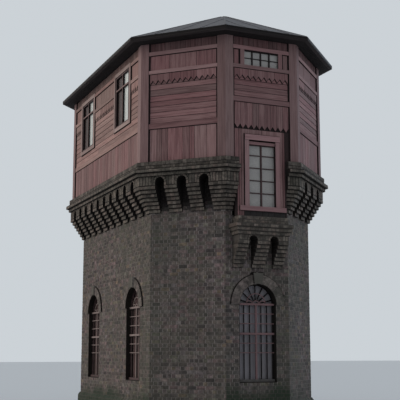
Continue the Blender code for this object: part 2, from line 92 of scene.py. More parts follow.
def wall_matrix(face):
    """From a wall's own axes (along, up, out) to the world."""
    angle = math.radians(45.0 * FACES.index(face))
    out = Vector((math.sin(angle), -math.cos(angle), 0.0))
    along = Vector((math.cos(angle), math.sin(angle), 0.0))
    origin = out * (HALF_LENGTH if face in ENDS else HALF_WIDTH)
    if face in CHAMFERS:
        origin = Vector((math.copysign(HALF_WIDTH - CORNER_CUT / 2, out.x),
                         math.copysign(HALF_LENGTH - CORNER_CUT / 2, out.y), 0.0))
    matrix = Matrix((along, (0.0, 0.0, 1.0), out)).transposed().to_4x4()
    matrix.translation = origin
    return matrix


def corner_at(face, out):
    """Half length of a face at a distance out, up to the mitre with its neighbours."""
    return face_half(face) + out * MITRE


# %% [markdown]
# ## Camera, floor and light
#
# The camera stands low and to the left, with a lens long enough to fill the frame. A pale floor
# and a pale even sky give soft shade under the eaves. One broad warm light from the left lifts
# the long face, as a low sun behind thin cloud does, and a faint cool one fills the right.

# %% Camera and light
LENS = 82.6
CAMERA_PLACE = (-9.672, -23.223, 1.65)
CAMERA_TILT = 99.468
CAMERA_TURN = -23.353
LIGHT_SPREAD = 50.0


def add_object(name, data):
    """Put a mesh, a light or a camera into the scene."""
    obj = bpy.data.objects.new(name, data)
    bpy.context.scene.collection.objects.link(obj)
    return obj


camera_data = bpy.data.cameras.new("camera")
camera_data.lens = LENS
camera_data.sensor_fit = "HORIZONTAL"
camera_data.sensor_width = 36.0
camera_data.clip_end = 500.0
camera = add_object("camera", camera_data)
camera.location = CAMERA_PLACE
camera.rotation_euler = (math.radians(CAMERA_TILT), 0.0, math.radians(CAMERA_TURN))
bpy.context.scene.camera = camera
bpy.context.scene.view_settings.view_transform = "Standard"

world = bpy.data.worlds.new("pale_sky")
bpy.context.scene.world = world
world.use_nodes = True
sky = world.node_tree.nodes["Background"].inputs
sky["Color"].default_value = (0.86, 0.92, 0.97, 1.0)
sky["Strength"].default_value = 0.70

for name, colour, strength, direction in (("left_light", (1.0, 0.90, 0.80), 2.1, (1.0, -0.70, -0.40)),
                                          ("right_fill", (0.72, 0.84, 1.0), 1.05, (-1.0, -0.15, -0.45))):
    light = bpy.data.lights.new(name, "SUN")
    light.color = colour
    light.energy = strength
    light.angle = math.radians(LIGHT_SPREAD)
    add_object(name, light).rotation_euler = Vector(direction).to_track_quat("-Z", "Y").to_euler()
print("camera at", CAMERA_PLACE)

# %% [markdown]
# ## Small node helpers
#
# A material is a small graph. A few short functions keep the graphs readable: feed sets or links
# an input, add_node adds a node with its settings and inputs, and the others stand for the nodes
# that come up again and again.


# %% Node helpers
def feed(tree, socket, value):
    """Give an input its value: the output of another node, a colour or a number."""
    if isinstance(value, bpy.types.NodeSocket):
        tree.links.new(value, socket)
    else:
        socket.default_value = (*value, 1.0) if isinstance(value, tuple) else value


def add_node(tree, kind, **values):
    """Add a node; a value goes to the setting, or else the input, of that name."""
    node = tree.nodes.new(kind)
    for key, value in values.items():
        if hasattr(node, key):
            setattr(node, key, value)
        else:
            feed(tree, node.inputs[key.replace("_", " ")], value)
    return node


def mix_colour(tree, factor, first, second):
    """Mix two colours."""
    node = add_node(tree, "ShaderNodeMix", data_type="RGBA")
    for index, value in ((0, factor), (6, first), (7, second)):
        feed(tree, node.inputs[index], value)
    return node.outputs[2]


def calculate(tree, operation, first, second=0.0, clamp=False):
    """One Math node."""
    node = add_node(tree, "ShaderNodeMath", operation=operation, use_clamp=clamp)
    feed(tree, node.inputs[0], first)
    feed(tree, node.inputs[1], second)
    return node.outputs[0]


def times(tree, first, second):
    """The product of two values."""
    return calculate(tree, "MULTIPLY", first, second)


def remap(tree, value, low, high, start=0.0, stop=1.0):
    """Stretch a value from low..high to start..stop, held at the ends."""
    limits = {"From_Min": low, "From_Max": high, "To_Min": start, "To_Max": stop}
    return add_node(tree, "ShaderNodeMapRange", Value=value, **limits).outputs[0]


def ramp(tree, value, stops):
    """A colour ramp through (place, colour) stops."""
    node = add_node(tree, "ShaderNodeValToRGB", Fac=value)
    elements = node.color_ramp.elements
    while len(elements) < len(stops):
        elements.new(0.5)
    for element, (place, colour) in zip(elements, stops):
        element.position = place
        element.color = (*colour, 1.0)
    return node.outputs[0]


def add_noise(tree, place, scale, detail, roughness=0.5):
    """A noise value at a place."""
    node = add_node(tree, "ShaderNodeTexNoise", Vector=place, Scale=scale, Detail=detail, Roughness=roughness)
    return node.outputs["Fac"]


def tower_place(tree):
    """The place of the shaded point in the tower's own metres."""
    return add_node(tree, "ShaderNodeTexCoord").outputs["Object"]


def face_number(tree, name):
    """A number that the faces of a mesh carry."""
    return add_node(tree, "ShaderNodeAttribute", attribute_name=name).outputs["Fac"]


def new_group(name, inputs, outputs):
    """A shader node group with named number inputs and outputs."""
    group = bpy.data.node_groups.new(name, "ShaderNodeTree")
    for label, value in inputs.items():
        socket = group.interface.new_socket(name=label, in_out="INPUT", socket_type="NodeSocketFloat")
        socket.default_value = value
    for label in outputs:
        group.interface.new_socket(name=label, in_out="OUTPUT", socket_type="NodeSocketFloat")
    return group, group.nodes.new("NodeGroupInput").outputs, group.nodes.new("NodeGroupOutput").inputs


def use_group(tree, group, **values):
    """Place a group in a material with its own values, and hand on its outputs."""
    return add_node(tree, "ShaderNodeGroup", node_tree=group, **values).outputs


# %% [markdown]
# ## Effects that several materials share
#
# No two bricks come out of a kiln alike, and no two boards out of a saw. Each unit carries one
# random number called tint, stored on its faces, and the first group turns it into three more.
# The others give broad blotches of dirt, the burnt flecks of brick and mortar, damp that climbs
# from the ground, and the streaks and fibres of wood, which follow a UV map along each board.

# %% Group: three random numbers for each brick or board
unit_tones, given, made = new_group("unit tones", {}, ["First", "Second", "Third"])
tint = face_number(unit_tones, "tint")
for label, spread in (("First", 91.7), ("Second", 53.3), ("Third", 27.1)):
    seed = times(unit_tones, tint, spread)
    noise = add_node(unit_tones, "ShaderNodeTexWhiteNoise", noise_dimensions="1D", W=seed)
    feed(unit_tones, made[label], noise.outputs["Value"])

# %% Groups: blotches of dirt and wear, and burnt flecks
blotches, given, made = new_group("blotches", {"Scale": 1.0, "Low": 0.4, "High": 0.6}, ["Mask", "Fine"])
for label, detail, factor in (("Mask", 5.0, 1.0), ("Fine", 8.0, 14.0)):
    scale = times(blotches, given["Scale"], factor)
    noise = add_noise(blotches, tower_place(blotches), scale, detail, 0.62)
    feed(blotches, made[label], remap(blotches, noise, given["Low"], given["High"]))

flecks, given, made = new_group("burnt flecks", {}, ["Flecks"])
feed(flecks, made["Flecks"], add_noise(flecks, tower_place(flecks), 12.0, 5.0, 0.70))

# %% Group: damp that climbs from a level, higher on the ends and hardly on the cut corners
ENDS_RISE = 0.17
CORNER_DRYNESS = 1.5
damp, given, made = new_group("damp", {"Level": 1.0, "Fade": 1.0, "Rise": 1.0}, ["Mask"])
spot = add_node(damp, "ShaderNodeTexCoord").outputs
height = add_node(damp, "ShaderNodeSeparateXYZ", Vector=spot["Object"]).outputs["Z"]
facing = add_node(damp, "ShaderNodeSeparateXYZ", Vector=spot["Normal"]).outputs
wave = times(damp, add_noise(damp, spot["Object"], 1.3, 5.0), given["Rise"])
below = calculate(damp, "SUBTRACT", calculate(damp, "ADD", wave, given["Level"]), height)
on_ends = times(damp, calculate(damp, "ABSOLUTE", facing["Y"]), ENDS_RISE)
share = calculate(damp, "DIVIDE", calculate(damp, "ADD", below, on_ends), given["Fade"], clamp=True)
slant = calculate(damp, "ABSOLUTE", times(damp, facing["X"], facing["Y"]))
dryness = calculate(damp, "SUBTRACT", 1.0, times(damp, slant, CORNER_DRYNESS))
feed(damp, made["Mask"], times(damp, share, dryness))

# %% Group: wood grain along each board
grain, given, made = new_group("wood grain", {"Stretch": 0.05}, ["Streaks", "Fibres"])
axes = add_node(grain, "ShaderNodeUVMap", uv_map="grain").outputs["UV"]
axes = add_node(grain, "ShaderNodeSeparateXYZ", Vector=axes).outputs
shift = times(grain, face_number(grain, "tint"), 83.0)
run = times(grain, axes["X"], given["Stretch"])
spot = add_node(grain, "ShaderNodeCombineXYZ", X=run, Y=axes["Y"], Z=shift).outputs[0]
for label, scale, detail in (("Streaks", 28.0, 3.0), ("Fibres", 120.0, 4.0)):
    feed(grain, made[label], add_noise(grain, spot, scale, detail, 0.6))
print("groups", [group.name for group in bpy.data.node_groups])

# %% [markdown]
# ## Finishes
#
# Everything here has stood in rain and frost. The bricks are hard-fired and dark, the lime joints
# lighter and dirty, and the red paint has faded to a dusty mauve that shows the grain. The eaves
# are almost black, partly as painted shade. Shade is painted as well: faces in the shadow of an
# edge carry a number that blackens them, because a shadow line a few millimetres wide is too thin
# for the light alone to draw.

# %% Material helpers
PAINTED_SHADE_BLACK = (0.009, 0.007, 0.007)
finish = {}


def new_material(name, shine=0.12):
    """Start a finish: its graph, and the inputs of its Principled shader."""
    finish[name] = bpy.data.materials.new(name)
    finish[name].use_nodes = True
    tree = finish[name].node_tree
    sockets = tree.nodes["Principled BSDF"].inputs
    sockets["Specular IOR Level"].default_value = shine
    return tree, sockets


def set_surface(tree, sockets, colour, roughness, height, strength, distance):
    """Give the shader its colour, roughness and bump."""
    feed(tree, sockets["Base Color"], colour)
    feed(tree, sockets["Roughness"], roughness)
    bump = add_node(tree, "ShaderNodeBump", Strength=strength, Distance=distance, Height=height)
    feed(tree, sockets["Normal"], bump.outputs["Normal"])


def brighten(tree, colour, value):
    """Multiply a colour's brightness."""
    return add_node(tree, "ShaderNodeHueSaturation", Value=value, Color=colour).outputs[0]


def paint_shade_over(tree, colour):
    """Painted shade: blacken the faces by the shade number they carry."""
    return mix_colour(tree, face_number(tree, "soot"), colour, PAINTED_SHADE_BLACK)


# %% Brick and mortar
COURSE = 0.0867
PLINTH_TOP = 0.48
PLINTH_CHAMFER_TOP = 0.565
FOOT = {"Level": 0.42, "Fade": 0.30, "Rise": 0.80}
BURNT, STAINED, MOSSY = (0.030, 0.027, 0.026), (0.052, 0.055, 0.041), (0.021, 0.032, 0.020)


def brick_finish(name, moss, stain, *stops):
    """Fired brick: kiln colours by unit, burnt flecks, stains in patches and moss at the foot."""
    tree, sockets = new_material(name)
    tones = use_group(tree, unit_tones)
    spots = use_group(tree, blotches, Scale=0.62, Low=0.40, High=0.62)
    foot = use_group(tree, damp, **FOOT)
    mottle = remap(tree, use_group(tree, flecks)["Flecks"], 0.36, 0.64, 0.56, 1.50)
    shade = times(tree, mottle, remap(tree, tones["Second"], 0.0, 1.0, 0.76, 1.28))
    colour = brighten(tree, ramp(tree, tones["First"], stops), shade)
    for mask, share, tone in ((spots["Fine"], 0.52, BURNT), (spots["Mask"], stain, STAINED),
                              (foot["Mask"], moss, MOSSY)):
        colour = mix_colour(tree, times(tree, mask, share), colour, tone)
    rough = remap(tree, tones["Third"], 0.0, 1.0, 0.80, 0.95)
    grit = add_noise(tree, tower_place(tree), 24.0, 6.0)
    set_surface(tree, sockets, paint_shade_over(tree, colour), rough, grit, 0.5, 0.004)


def mortar_finish(name, clean, dirty):
    """Old lime mortar, green at the foot, with painted shade: darker in the beds and black under the corbels.
    """
    tree, sockets = new_material(name)
    spots = use_group(tree, blotches, Scale=0.8, Low=0.38, High=0.64)
    foot = times(tree, use_group(tree, damp, **FOOT)["Mask"], 0.75)
    place = tower_place(tree)
    height = add_node(tree, "ShaderNodeSeparateXYZ", Vector=place).outputs["Z"]
    course = calculate(tree, "DIVIDE", calculate(tree, "SUBTRACT", height, PLINTH_CHAMFER_TOP), COURSE)
    # Painted shade: bed joints darker than the upright joints, and near-black mortar under the corbels.
    bed = remap(tree, calculate(tree, "PINGPONG", course, 0.5), 0.085, 0.065, 0.0, 0.62)
    under = remap(tree, height, CORBEL_BOTTOM - 0.05, CORBEL_BOTTOM + 0.06, 0.0, 0.93)
    specks = remap(tree, use_group(tree, flecks)["Flecks"], 0.58, 0.38, 0.0, 0.24)
    colour = mix_colour(tree, spots["Mask"], clean, dirty)
    for mask, tone in ((foot, (0.030, 0.040, 0.024)), (bed, (0.052, 0.044, 0.040)),
                       (under, (0.010, 0.008, 0.008)), (specks, (0.040, 0.034, 0.032))):
        colour = mix_colour(tree, mask, colour, tone)
    set_surface(tree, sockets, colour, 0.95, add_noise(tree, place, 28.0, 5.0), 0.5, 0.003)


brick_finish("wall_brick", 0.88, 0.50,
             (0.0, (0.054, 0.045, 0.045)), (0.12, (0.074, 0.060, 0.058)), (0.28, (0.098, 0.080, 0.072)),
             (0.42, (0.116, 0.094, 0.084)), (0.62, (0.132, 0.090, 0.089)), (0.78, (0.108, 0.091, 0.091)),
             (0.92, (0.112, 0.102, 0.080)), (1.0, (0.158, 0.112, 0.084)))
brick_finish("cornice_brick", 0.0, 0.25, (0.0, (0.063, 0.053, 0.046)), (0.3, (0.101, 0.085, 0.072)),
             (0.7, (0.130, 0.108, 0.092)), (1.0, (0.130, 0.098, 0.084)))
brick_finish("parapet_brick", 0.0, 0.12, (0.0, (0.044, 0.036, 0.031)), (0.5, (0.085, 0.071, 0.061)),
             (1.0, (0.132, 0.110, 0.095)))
brick_finish("ring_brick", 0.0, 0.4, (0.0, (0.090, 0.077, 0.068)), (0.5, (0.112, 0.094, 0.084)),
             (1.0, (0.126, 0.100, 0.092)))
mortar_finish("lime_mortar", (0.325, 0.284, 0.266), (0.200, 0.174, 0.160))
# Near-black mortar of the cornice and bay bases: painted shade between the stepped courses.
mortar_finish("cornice_mortar_painted_shade", (0.082, 0.072, 0.065), (0.044, 0.039, 0.035))


# %% Faded red paint on wood
def paint_finish(name, strong, faded, bare, wear, dirt):
    """Red paint on wood: strong and faded tones by board and streak, bare wood where it has gone."""
    tree, sockets = new_material(name)
    tones = use_group(tree, unit_tones)
    wood = use_group(tree, grain, Stretch=0.055)
    spots = use_group(tree, blotches, Scale=0.9, Low=0.34, High=0.68)
    streak = times(tree, remap(tree, wood["Streaks"], 0.34, 0.66), 0.35)
    share = calculate(tree, "ADD", streak, times(tree, tones["First"], 0.65))
    lost = times(tree, remap(tree, wood["Fibres"], 0.50, 0.70), times(tree, spots["Mask"], wear))
    grime = times(tree, remap(tree, wood["Streaks"], 0.58, 0.36), dirt)
    colour = mix_colour(tree, lost, mix_colour(tree, share, strong, faded), bare)
    colour = mix_colour(tree, grime, colour, (0.038, 0.024, 0.024))
    colour = brighten(tree, colour, remap(tree, tones["Second"], 0.0, 1.0, 0.79, 1.21))
    rough = remap(tree, wood["Fibres"], 0.3, 0.7, 0.66, 0.88)
    set_surface(tree, sockets, paint_shade_over(tree, colour), rough, wood["Fibres"], 0.45, 0.003)


for name, *tones in (
        ("faded_red_boards", (0.192, 0.085, 0.089), (0.192, 0.121, 0.117), (0.28, 0.20, 0.19), 0.70, 0.42),
        ("bleached_red_boards", (0.222, 0.120, 0.108), (0.222, 0.150, 0.134), (0.30, 0.23, 0.20), 0.75, 0.34),
        ("low_red_boards", (0.172, 0.082, 0.083), (0.172, 0.108, 0.102), (0.25, 0.18, 0.17), 0.60, 0.38),
        ("faded_red_trim", (0.166, 0.094, 0.094), (0.186, 0.123, 0.119), (0.24, 0.17, 0.16), 0.5, 0.30),
        ("faded_red_rails", (0.225, 0.120, 0.122), (0.240, 0.150, 0.146), (0.28, 0.20, 0.19), 0.5, 0.22),
        ("window_casing_paint", (0.300, 0.164, 0.169), (0.320, 0.204, 0.203), (0.30, 0.20, 0.19), 0.4, 0.25),
        ("side_casing_paint", (0.235, 0.160, 0.148), (0.270, 0.205, 0.188), (0.32, 0.26, 0.24), 0.5, 0.22),
        # Near-black backing: painted shadow in the gaps beside posts, under rails and below the teeth.
        ("board_backing", (0.012, 0.008, 0.008), (0.016, 0.011, 0.011), (0.02, 0.016, 0.016), 0.2, 0.2)):
    paint_finish(name, *tones)


# %% Plain finishes: sash paint, iron, glass, eaves, roof sheet, floors
def plain_finish(name, colour, darker, roughness, scale=2.0, metallic=0.0, shine=0.12):
    """A finish of two close tones in blotches, with a fine grit."""
    tree, sockets = new_material(name, shine)
    spots = use_group(tree, blotches, Scale=scale, Low=0.35, High=0.65)
    colour = paint_shade_over(tree, mix_colour(tree, spots["Mask"], colour, darker))
    rough = remap(tree, spots["Fine"], 0.0, 1.0, roughness - 0.07, roughness + 0.07)
    sockets["Metallic"].default_value = metallic
    set_surface(tree, sockets, colour, rough, add_noise(tree, tower_place(tree), 27.0, 5.0), 0.3, 0.002)


for name, *tones in (
        ("sash_paint", (0.178, 0.106, 0.108), (0.132, 0.080, 0.082), 0.7),
        ("sash_brown", (0.075, 0.045, 0.045), (0.050, 0.030, 0.030), 0.7),
        ("muntin_brown", (0.170, 0.108, 0.102), (0.110, 0.070, 0.066), 0.7),
        ("sill_grey", (0.100, 0.092, 0.088), (0.060, 0.055, 0.053), 0.8),
        ("dark_muntin", (0.026, 0.018, 0.019), (0.016, 0.012, 0.012), 0.6),
        ("rusty_iron", (0.150, 0.106, 0.100), (0.110, 0.078, 0.073), 0.7),
        ("side_sash_paint", (0.190, 0.145, 0.136), (0.142, 0.108, 0.101), 0.7),
        ("window_iron", (0.006, 0.005, 0.005), (0.012, 0.008, 0.007), 0.6, 2.0, 0.2),
        ("sooty_lining", (0.012, 0.010, 0.009), (0.020, 0.016, 0.013), 0.9, 3.0),
        ("keystone_stone", (0.094, 0.086, 0.075), (0.064, 0.059, 0.050), 0.9, 3.0),
        # The near-black of the eave boards is partly painted shade under the eaves; the outer soffit board is
        # painted browner as lit.
        ("eave_boards", (0.015, 0.012, 0.012), (0.022, 0.018, 0.018), 0.8, 1.4),
        ("soffit_edge_boards", (0.055, 0.045, 0.045), (0.036, 0.030, 0.030), 0.8, 1.4),
        ("roof_sheet", (0.083, 0.081, 0.089), (0.061, 0.059, 0.066), 0.6, 1.1, 0.1),
        ("ground_slab", (0.20, 0.19, 0.18), (0.13, 0.125, 0.12), 0.9),
        ("floor_planks", (0.16, 0.11, 0.08), (0.10, 0.07, 0.05), 0.8),
        ("pane_grey", (0.300, 0.282, 0.268), (0.250, 0.234, 0.226), 0.30, 3.0, 0.0, 0.4),
        # pane_dim and pane_red: one glass, painted lighter as lit on the ends and dark red-brown as shaded on
        # the long faces.
        ("pane_dim", (0.196, 0.181, 0.199), (0.153, 0.140, 0.147), 0.35, 1.2, 0.0, 0.3),
        ("pane_red", (0.104, 0.066, 0.063), (0.068, 0.043, 0.041), 0.4, 3.0),
        # pane_dark and pane_bright: one glass, painted dark as shade and bright as a reflection of the sky.
        ("pane_dark", (0.030, 0.014, 0.015), (0.012, 0.007, 0.007), 0.45, 3.0),
        ("pane_bright", (0.52, 0.54, 0.52), (0.42, 0.44, 0.42), 0.25, 3.0, 0.0, 0.4)):
    plain_finish(name, *tones)
print("finishes", len(finish))


# %% [markdown]
# ## From a flat sheet to laid units
#
# Bricks and boards are made the same way, as a joiner would mark out a wall. A flat sheet is
# sliced into units with bisect_plane, the openings are cut out of it, each unit shrinks by half
# a joint, rises off the wall, and gets a small arris round its front. Bisecting keeps the joint
# lines dead straight and gives each unit only the corners it needs.

# %% Slicing a sheet
BUILD = random.Random(20)
TINY = 1e-5


def new_sheet(low, high, down, up):
    """A flat sheet in a wall's own axes, with layers for its units' numbers."""
    bm = bmesh.new()
    bm.faces.layers.int.new("unit")
    bm.faces.layers.float.new("tint")
    corners = bmesh.ops.create_grid(bm, x_segments=1, y_segments=1, size=0.5)["verts"]
    bmesh.ops.scale(bm, vec=(high - low, up - down, 1.0), verts=corners)
    bmesh.ops.translate(bm, vec=((low + high) / 2, (down + up) / 2, 0.0), verts=corners)
    return bm


def with_rims(faces):
    """Faces with their edges and corners, which is what bisect_plane works on."""
    edges = {edge for face in faces for edge in face.edges}
    corners = {vert for face in faces for vert in face.verts}
    return list(faces) + list(edges) + list(corners)


def crosses(face, axis, value):
    """Whether a face lies on both sides of a line across an axis."""
    places = [vert.co[axis] for vert in face.verts]
    return min(places) < value - TINY and max(places) > value + TINY


def slice_sheet(bm, axis, values, wanted=None):
    """Cut the sheet with lines across an axis, only through the faces that are wanted."""
    normal = Vector((1.0, 0.0, 0.0)) if axis == 0 else Vector((0.0, 1.0, 0.0))
    for value in values:
        faces = [f for f in bm.faces if crosses(f, axis, value) and (wanted is None or wanted(f))]
        if faces:
            bmesh.ops.bisect_plane(bm, geom=with_rims(faces), plane_co=normal * value, plane_no=normal)
    bmesh.ops.split_edges(bm, edges=bm.edges)


def number_units(bm):
    """Give each unit its number and its tint."""
    unit = bm.faces.layers.int["unit"]
    tint = bm.faces.layers.float["tint"]
    for index, face in enumerate(bm.faces):
        face[unit] = index
        face[tint] = BUILD.random()


# %% Cutting openings out of a sliced sheet
def arch(middle, half, sill, spring, steps=14):
    """Anticlockwise outline of an opening with a round head."""
    turns = [math.pi * i / steps for i in range(steps + 1)]
    head = [(middle + half * math.cos(turn), spring + half * math.sin(turn)) for turn in turns]
    return ([(middle - half, sill), (middle + half, sill)] if sill < spring else []) + head


def oblong(low, high, down, up):
    """Anticlockwise outline of an upright rectangle."""
    return [(low, down), (high, down), (high, up), (low, up)]


def pierce(bm, outline):
    """Cut a convex outline out of the units, and mend the cuts that run on outside it."""
    unit = bm.faces.layers.int["unit"]
    corners = [Vector((*corner, 0.0)) for corner in outline]
    sides = [(a, Vector((b.y - a.y, a.x - b.x, 0.0))) for a, b in zip(corners, corners[1:] + corners[:1])]
    limits = [(min(corner[i] for corner in corners), max(corner[i] for corner in corners)) for i in (0, 1)]

    def near(face):
        return all(min(v.co[i] for v in face.verts) < limits[i][1]
                   and max(v.co[i] for v in face.verts) > limits[i][0] for i in (0, 1))

    for point, normal in sides:
        faces = [face for face in bm.faces if near(face)]
        bmesh.ops.bisect_plane(bm, geom=with_rims(faces), plane_co=point, plane_no=normal)
    inner = [face for face in bm.faces if near(face)
             and all((face.calc_center_median() - point).dot(normal) < 0.0 for point, normal in sides)]
    bmesh.ops.delete(bm, geom=inner, context="FACES")
    seams = [edge for edge in bm.edges if len(edge.link_faces) == 2
             and edge.link_faces[0][unit] == edge.link_faces[1][unit]]
    bmesh.ops.dissolve_edges(bm, edges=seams, use_verts=False)
    bmesh.ops.dissolve_limit(bm, angle_limit=math.radians(2.0), verts=bm.verts[:], edges=[])


# %% Raising the units
def raise_units(bm, joint, stand, arris, wobble=0.001, lap=0.0, smallest=0.0012):
    """Shrink each unit by half a joint, lift it off the wall and round its front a little."""
    slivers = [face for face in bm.faces if face.calc_area() < smallest]
    bmesh.ops.delete(bm, geom=slivers, context="FACES")
    rims = bmesh.ops.inset_individual(bm, faces=bm.faces[:], thickness=joint / 2, use_even_offset=True)
    bmesh.ops.delete(bm, geom=rims["faces"], context="FACES")
    grown = bmesh.ops.extrude_face_region(bm, geom=bm.faces[:], use_keep_orig=True)["geom"]
    fronts = [item for item in grown if isinstance(item, bmesh.types.BMFace)]
    for front in fronts:
        lift = stand - arris + BUILD.uniform(-wobble, wobble)
        places = [vert.co.y for vert in front.verts]
        middle, height = (min(places) + max(places)) / 2, max(places) - min(places)
        for vert in front.verts:
            vert.co.z += lift + lap * (middle - vert.co.y) / height
    bmesh.ops.inset_individual(bm, faces=fronts, thickness=arris, depth=arris, use_even_offset=True)
    bmesh.ops.recalc_face_normals(bm, faces=bm.faces)


def face_layer(bm, name):
    """The layer of a number that the faces carry, made when it is first needed."""
    return bm.faces.layers.float.get(name) or bm.faces.layers.float.new(name)


def paint_shade_on_flanks(bm, share, limit=0.4, level=1.0):
    """Paint shade on the faces that turn away from the front, a share of it on the level ones."""
    soot = face_layer(bm, "soot")
    bm.normal_update()
    for face in bm.faces:
        if abs(face.normal.z) < limit:
            face[soot] = share * (level if abs(face.normal.y) > abs(face.normal.x) else 1.0)


def lay_grain(bm, faces, axis):
    """Map faces so that the wood grain runs along an axis."""
    uv = bm.loops.layers.uv.get("grain") or bm.loops.layers.uv.new("grain")
    for face in faces:
        for loop in face.loops:
            co = loop.vert.co
            loop[uv].uv = (co[axis], co[1 - axis] + co.z)


# %% Pieces of the tower
def new_mesh(bm, name, material):
    """Turn a drawn mesh into mesh data with one finish."""
    mesh = bpy.data.meshes.new(name)
    bm.to_mesh(mesh)
    bm.free()
    mesh.materials.append(finish[material])
    return mesh


def add_piece(bm, name, material, replaced=()):
    """Make a mesh drawn in the tower's own axes a piece of it."""
    obj = add_object(name, new_mesh(bm, name, material))
    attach(obj, "root")
    if replaced:
        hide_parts(*replaced)
    return obj


def to_wall(bm, name, face, material, lift=0.0, replaced=(), soot=0.0, limit=0.4, level=1.0):
    """Stand a flat-drawn mesh on its wall, with painted shade on its flanks."""
    bmesh.ops.recalc_face_normals(bm, faces=bm.faces)
    if soot:
        paint_shade_on_flanks(bm, soot, limit, level)
    bmesh.ops.translate(bm, vec=(0.0, 0.0, lift), verts=bm.verts)
    bmesh.ops.transform(bm, matrix=wall_matrix(face), verts=bm.verts)
    return add_piece(bm, name, material, replaced)


def coat(name, material):
    """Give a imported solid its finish."""
    nodes[name].data.materials.clear()
    nodes[name].data.materials.append(finish[material])


# %% Loose blocks: single bricks, boards, bars
def add_block(bm, along, up, out, grain_axis=None):
    """Add a box between (low, high) pairs in a wall's own axes, with its own tint."""
    tint = face_layer(bm, "tint")
    corners = bmesh.ops.create_cube(bm, size=1.0)["verts"]
    bmesh.ops.scale(bm, vec=[high - low for low, high in (along, up, out)], verts=corners)
    bmesh.ops.translate(bm, vec=[(low + high) / 2 for low, high in (along, up, out)], verts=corners)
    shade = BUILD.random()
    faces = {face for vert in corners for face in vert.link_faces}
    for face in faces:
        face[tint] = shade
    if grain_axis is not None:
        lay_grain(bm, faces, grain_axis)
    return corners


def round_front(bm, corners, radius, segments=1, level_only=False):
    """Round the four edges of a block's front, or only the two that lie level."""
    front = max(vert.co.z for vert in corners)
    rim = {edge for vert in corners for edge in vert.link_edges
           if all(end.co.z > front - TINY for end in edge.verts)}
    if level_only:
        rim = {edge for edge in rim if abs(edge.verts[0].co.y - edge.verts[1].co.y) < TINY}
    bmesh.ops.bevel(bm, geom=list(rim), offset=radius, segments=segments, profile=0.5, affect="EDGES",
                    clamp_overlap=True, material=-1)


def bar(bm, along, up, out, ease=0.003, grain_axis=None):
    """A planed bar or board with eased front edges."""
    round_front(bm, add_block(bm, along, up, out, grain_axis), ease)


def both_sides(middle, inner, outer):
    """The (low, high) pairs between two distances to the left and to the right of a middle."""
    return [sorted((middle + side * inner, middle + side * outer)) for side in (-1, 1)]


# %% [markdown]
# ## The brick walls
#
# The trunk is laid in courses of headers and stretchers by turns. A header is about 108 mm wide
# with its joint and a stretcher twice that; each face stretches them a little, so that whole
# bricks meet at its corners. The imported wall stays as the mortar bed, and the bricks stand 5 mm
# proud of it, so the joints are real grooves. Round each window the sheet is cut to the opening,
# the arch ring and the keystone.

# %% Brick sizes and window places
HEADER = 0.108
JOINT = 0.011
PROUD = 0.005
BRICK_ARRIS = 0.003
ARCH_SILL = 0.995
ARCH_SPRING = 2.757
END_ARCH_HALF = 0.474
SIDE_ARCH_HALF = 0.50
SIDE_ARCHES = ((-1.64, "_left"), (1.64, "_right"))
RING_WIDTH = 0.215
KEYSTONE = (0.10, 0.13, 0.255)
SLOT_WIDTH = 0.242
SLOT_PITCH = 0.56
SLOT_TOP = 5.741
BASE_SLOT_X = 0.27
BASE_SLOT_WIDTH = 0.228
BASE_SLOT_TOP = 4.315
BAY_HALF = 0.64
# How dark the painted shade on the bricks inside the cornice slots gets, and over what height it rises.
CORBEL_SHADE = 0.93
SHADE_RISE = 0.22


def arched_openings(face):
    """(middle, half width, name ending) of the arched windows of a face."""
    if face in ENDS:
        return [(0.0, END_ARCH_HALF, face)]
    return [(x, SIDE_ARCH_HALF, face + ending) for x, ending in SIDE_ARCHES if face in SIDES]


def slot_middles(face):
    """Middles of the arch-headed slots in the cornice of a face."""
    count = 10 if face in SIDES else 3 if face in CHAMFERS else 0
    return [(index - (count - 1) / 2) * SLOT_PITCH for index in range(count)]


# %% Courses of headers and stretchers
def lay_courses(bm, reach, down, up, first=0):
    """Slice a sheet into courses and each course into bricks that end whole at the corners."""
    rows = math.ceil((up - down) / COURSE)
    slice_sheet(bm, 1, [down + COURSE * row for row in range(1, rows)])

    def row_of(face):
        return int((face.calc_center_median().y - down) / COURSE) + first

    count = round(reach / HEADER - 0.5)
    width = reach / (count + 0.5)
    headers = [width * (i + 0.5) for i in range(-count - 1, count + 1)]
    stretchers = [width * 2 * i for i in range(-count, count + 1)]
    slice_sheet(bm, 0, headers, lambda face: row_of(face) % 2 == 0)
    slice_sheet(bm, 0, stretchers, lambda face: row_of(face) % 2 == 1)
    number_units(bm)


def is_hidden(face, point):
    """Whether the cornice or the bay's base covers a brick."""
    if face in ENDS and point.y > BASE_BOTTOM and abs(point.x) < BAY_HALF:
        return point.y > BASE_SLOT_TOP or abs(abs(point.x) - BASE_SLOT_X) >= BASE_SLOT_WIDTH
    return point.y > CORBEL_BOTTOM and all(abs(point.x - x) >= SLOT_WIDTH for x in slot_middles(face))


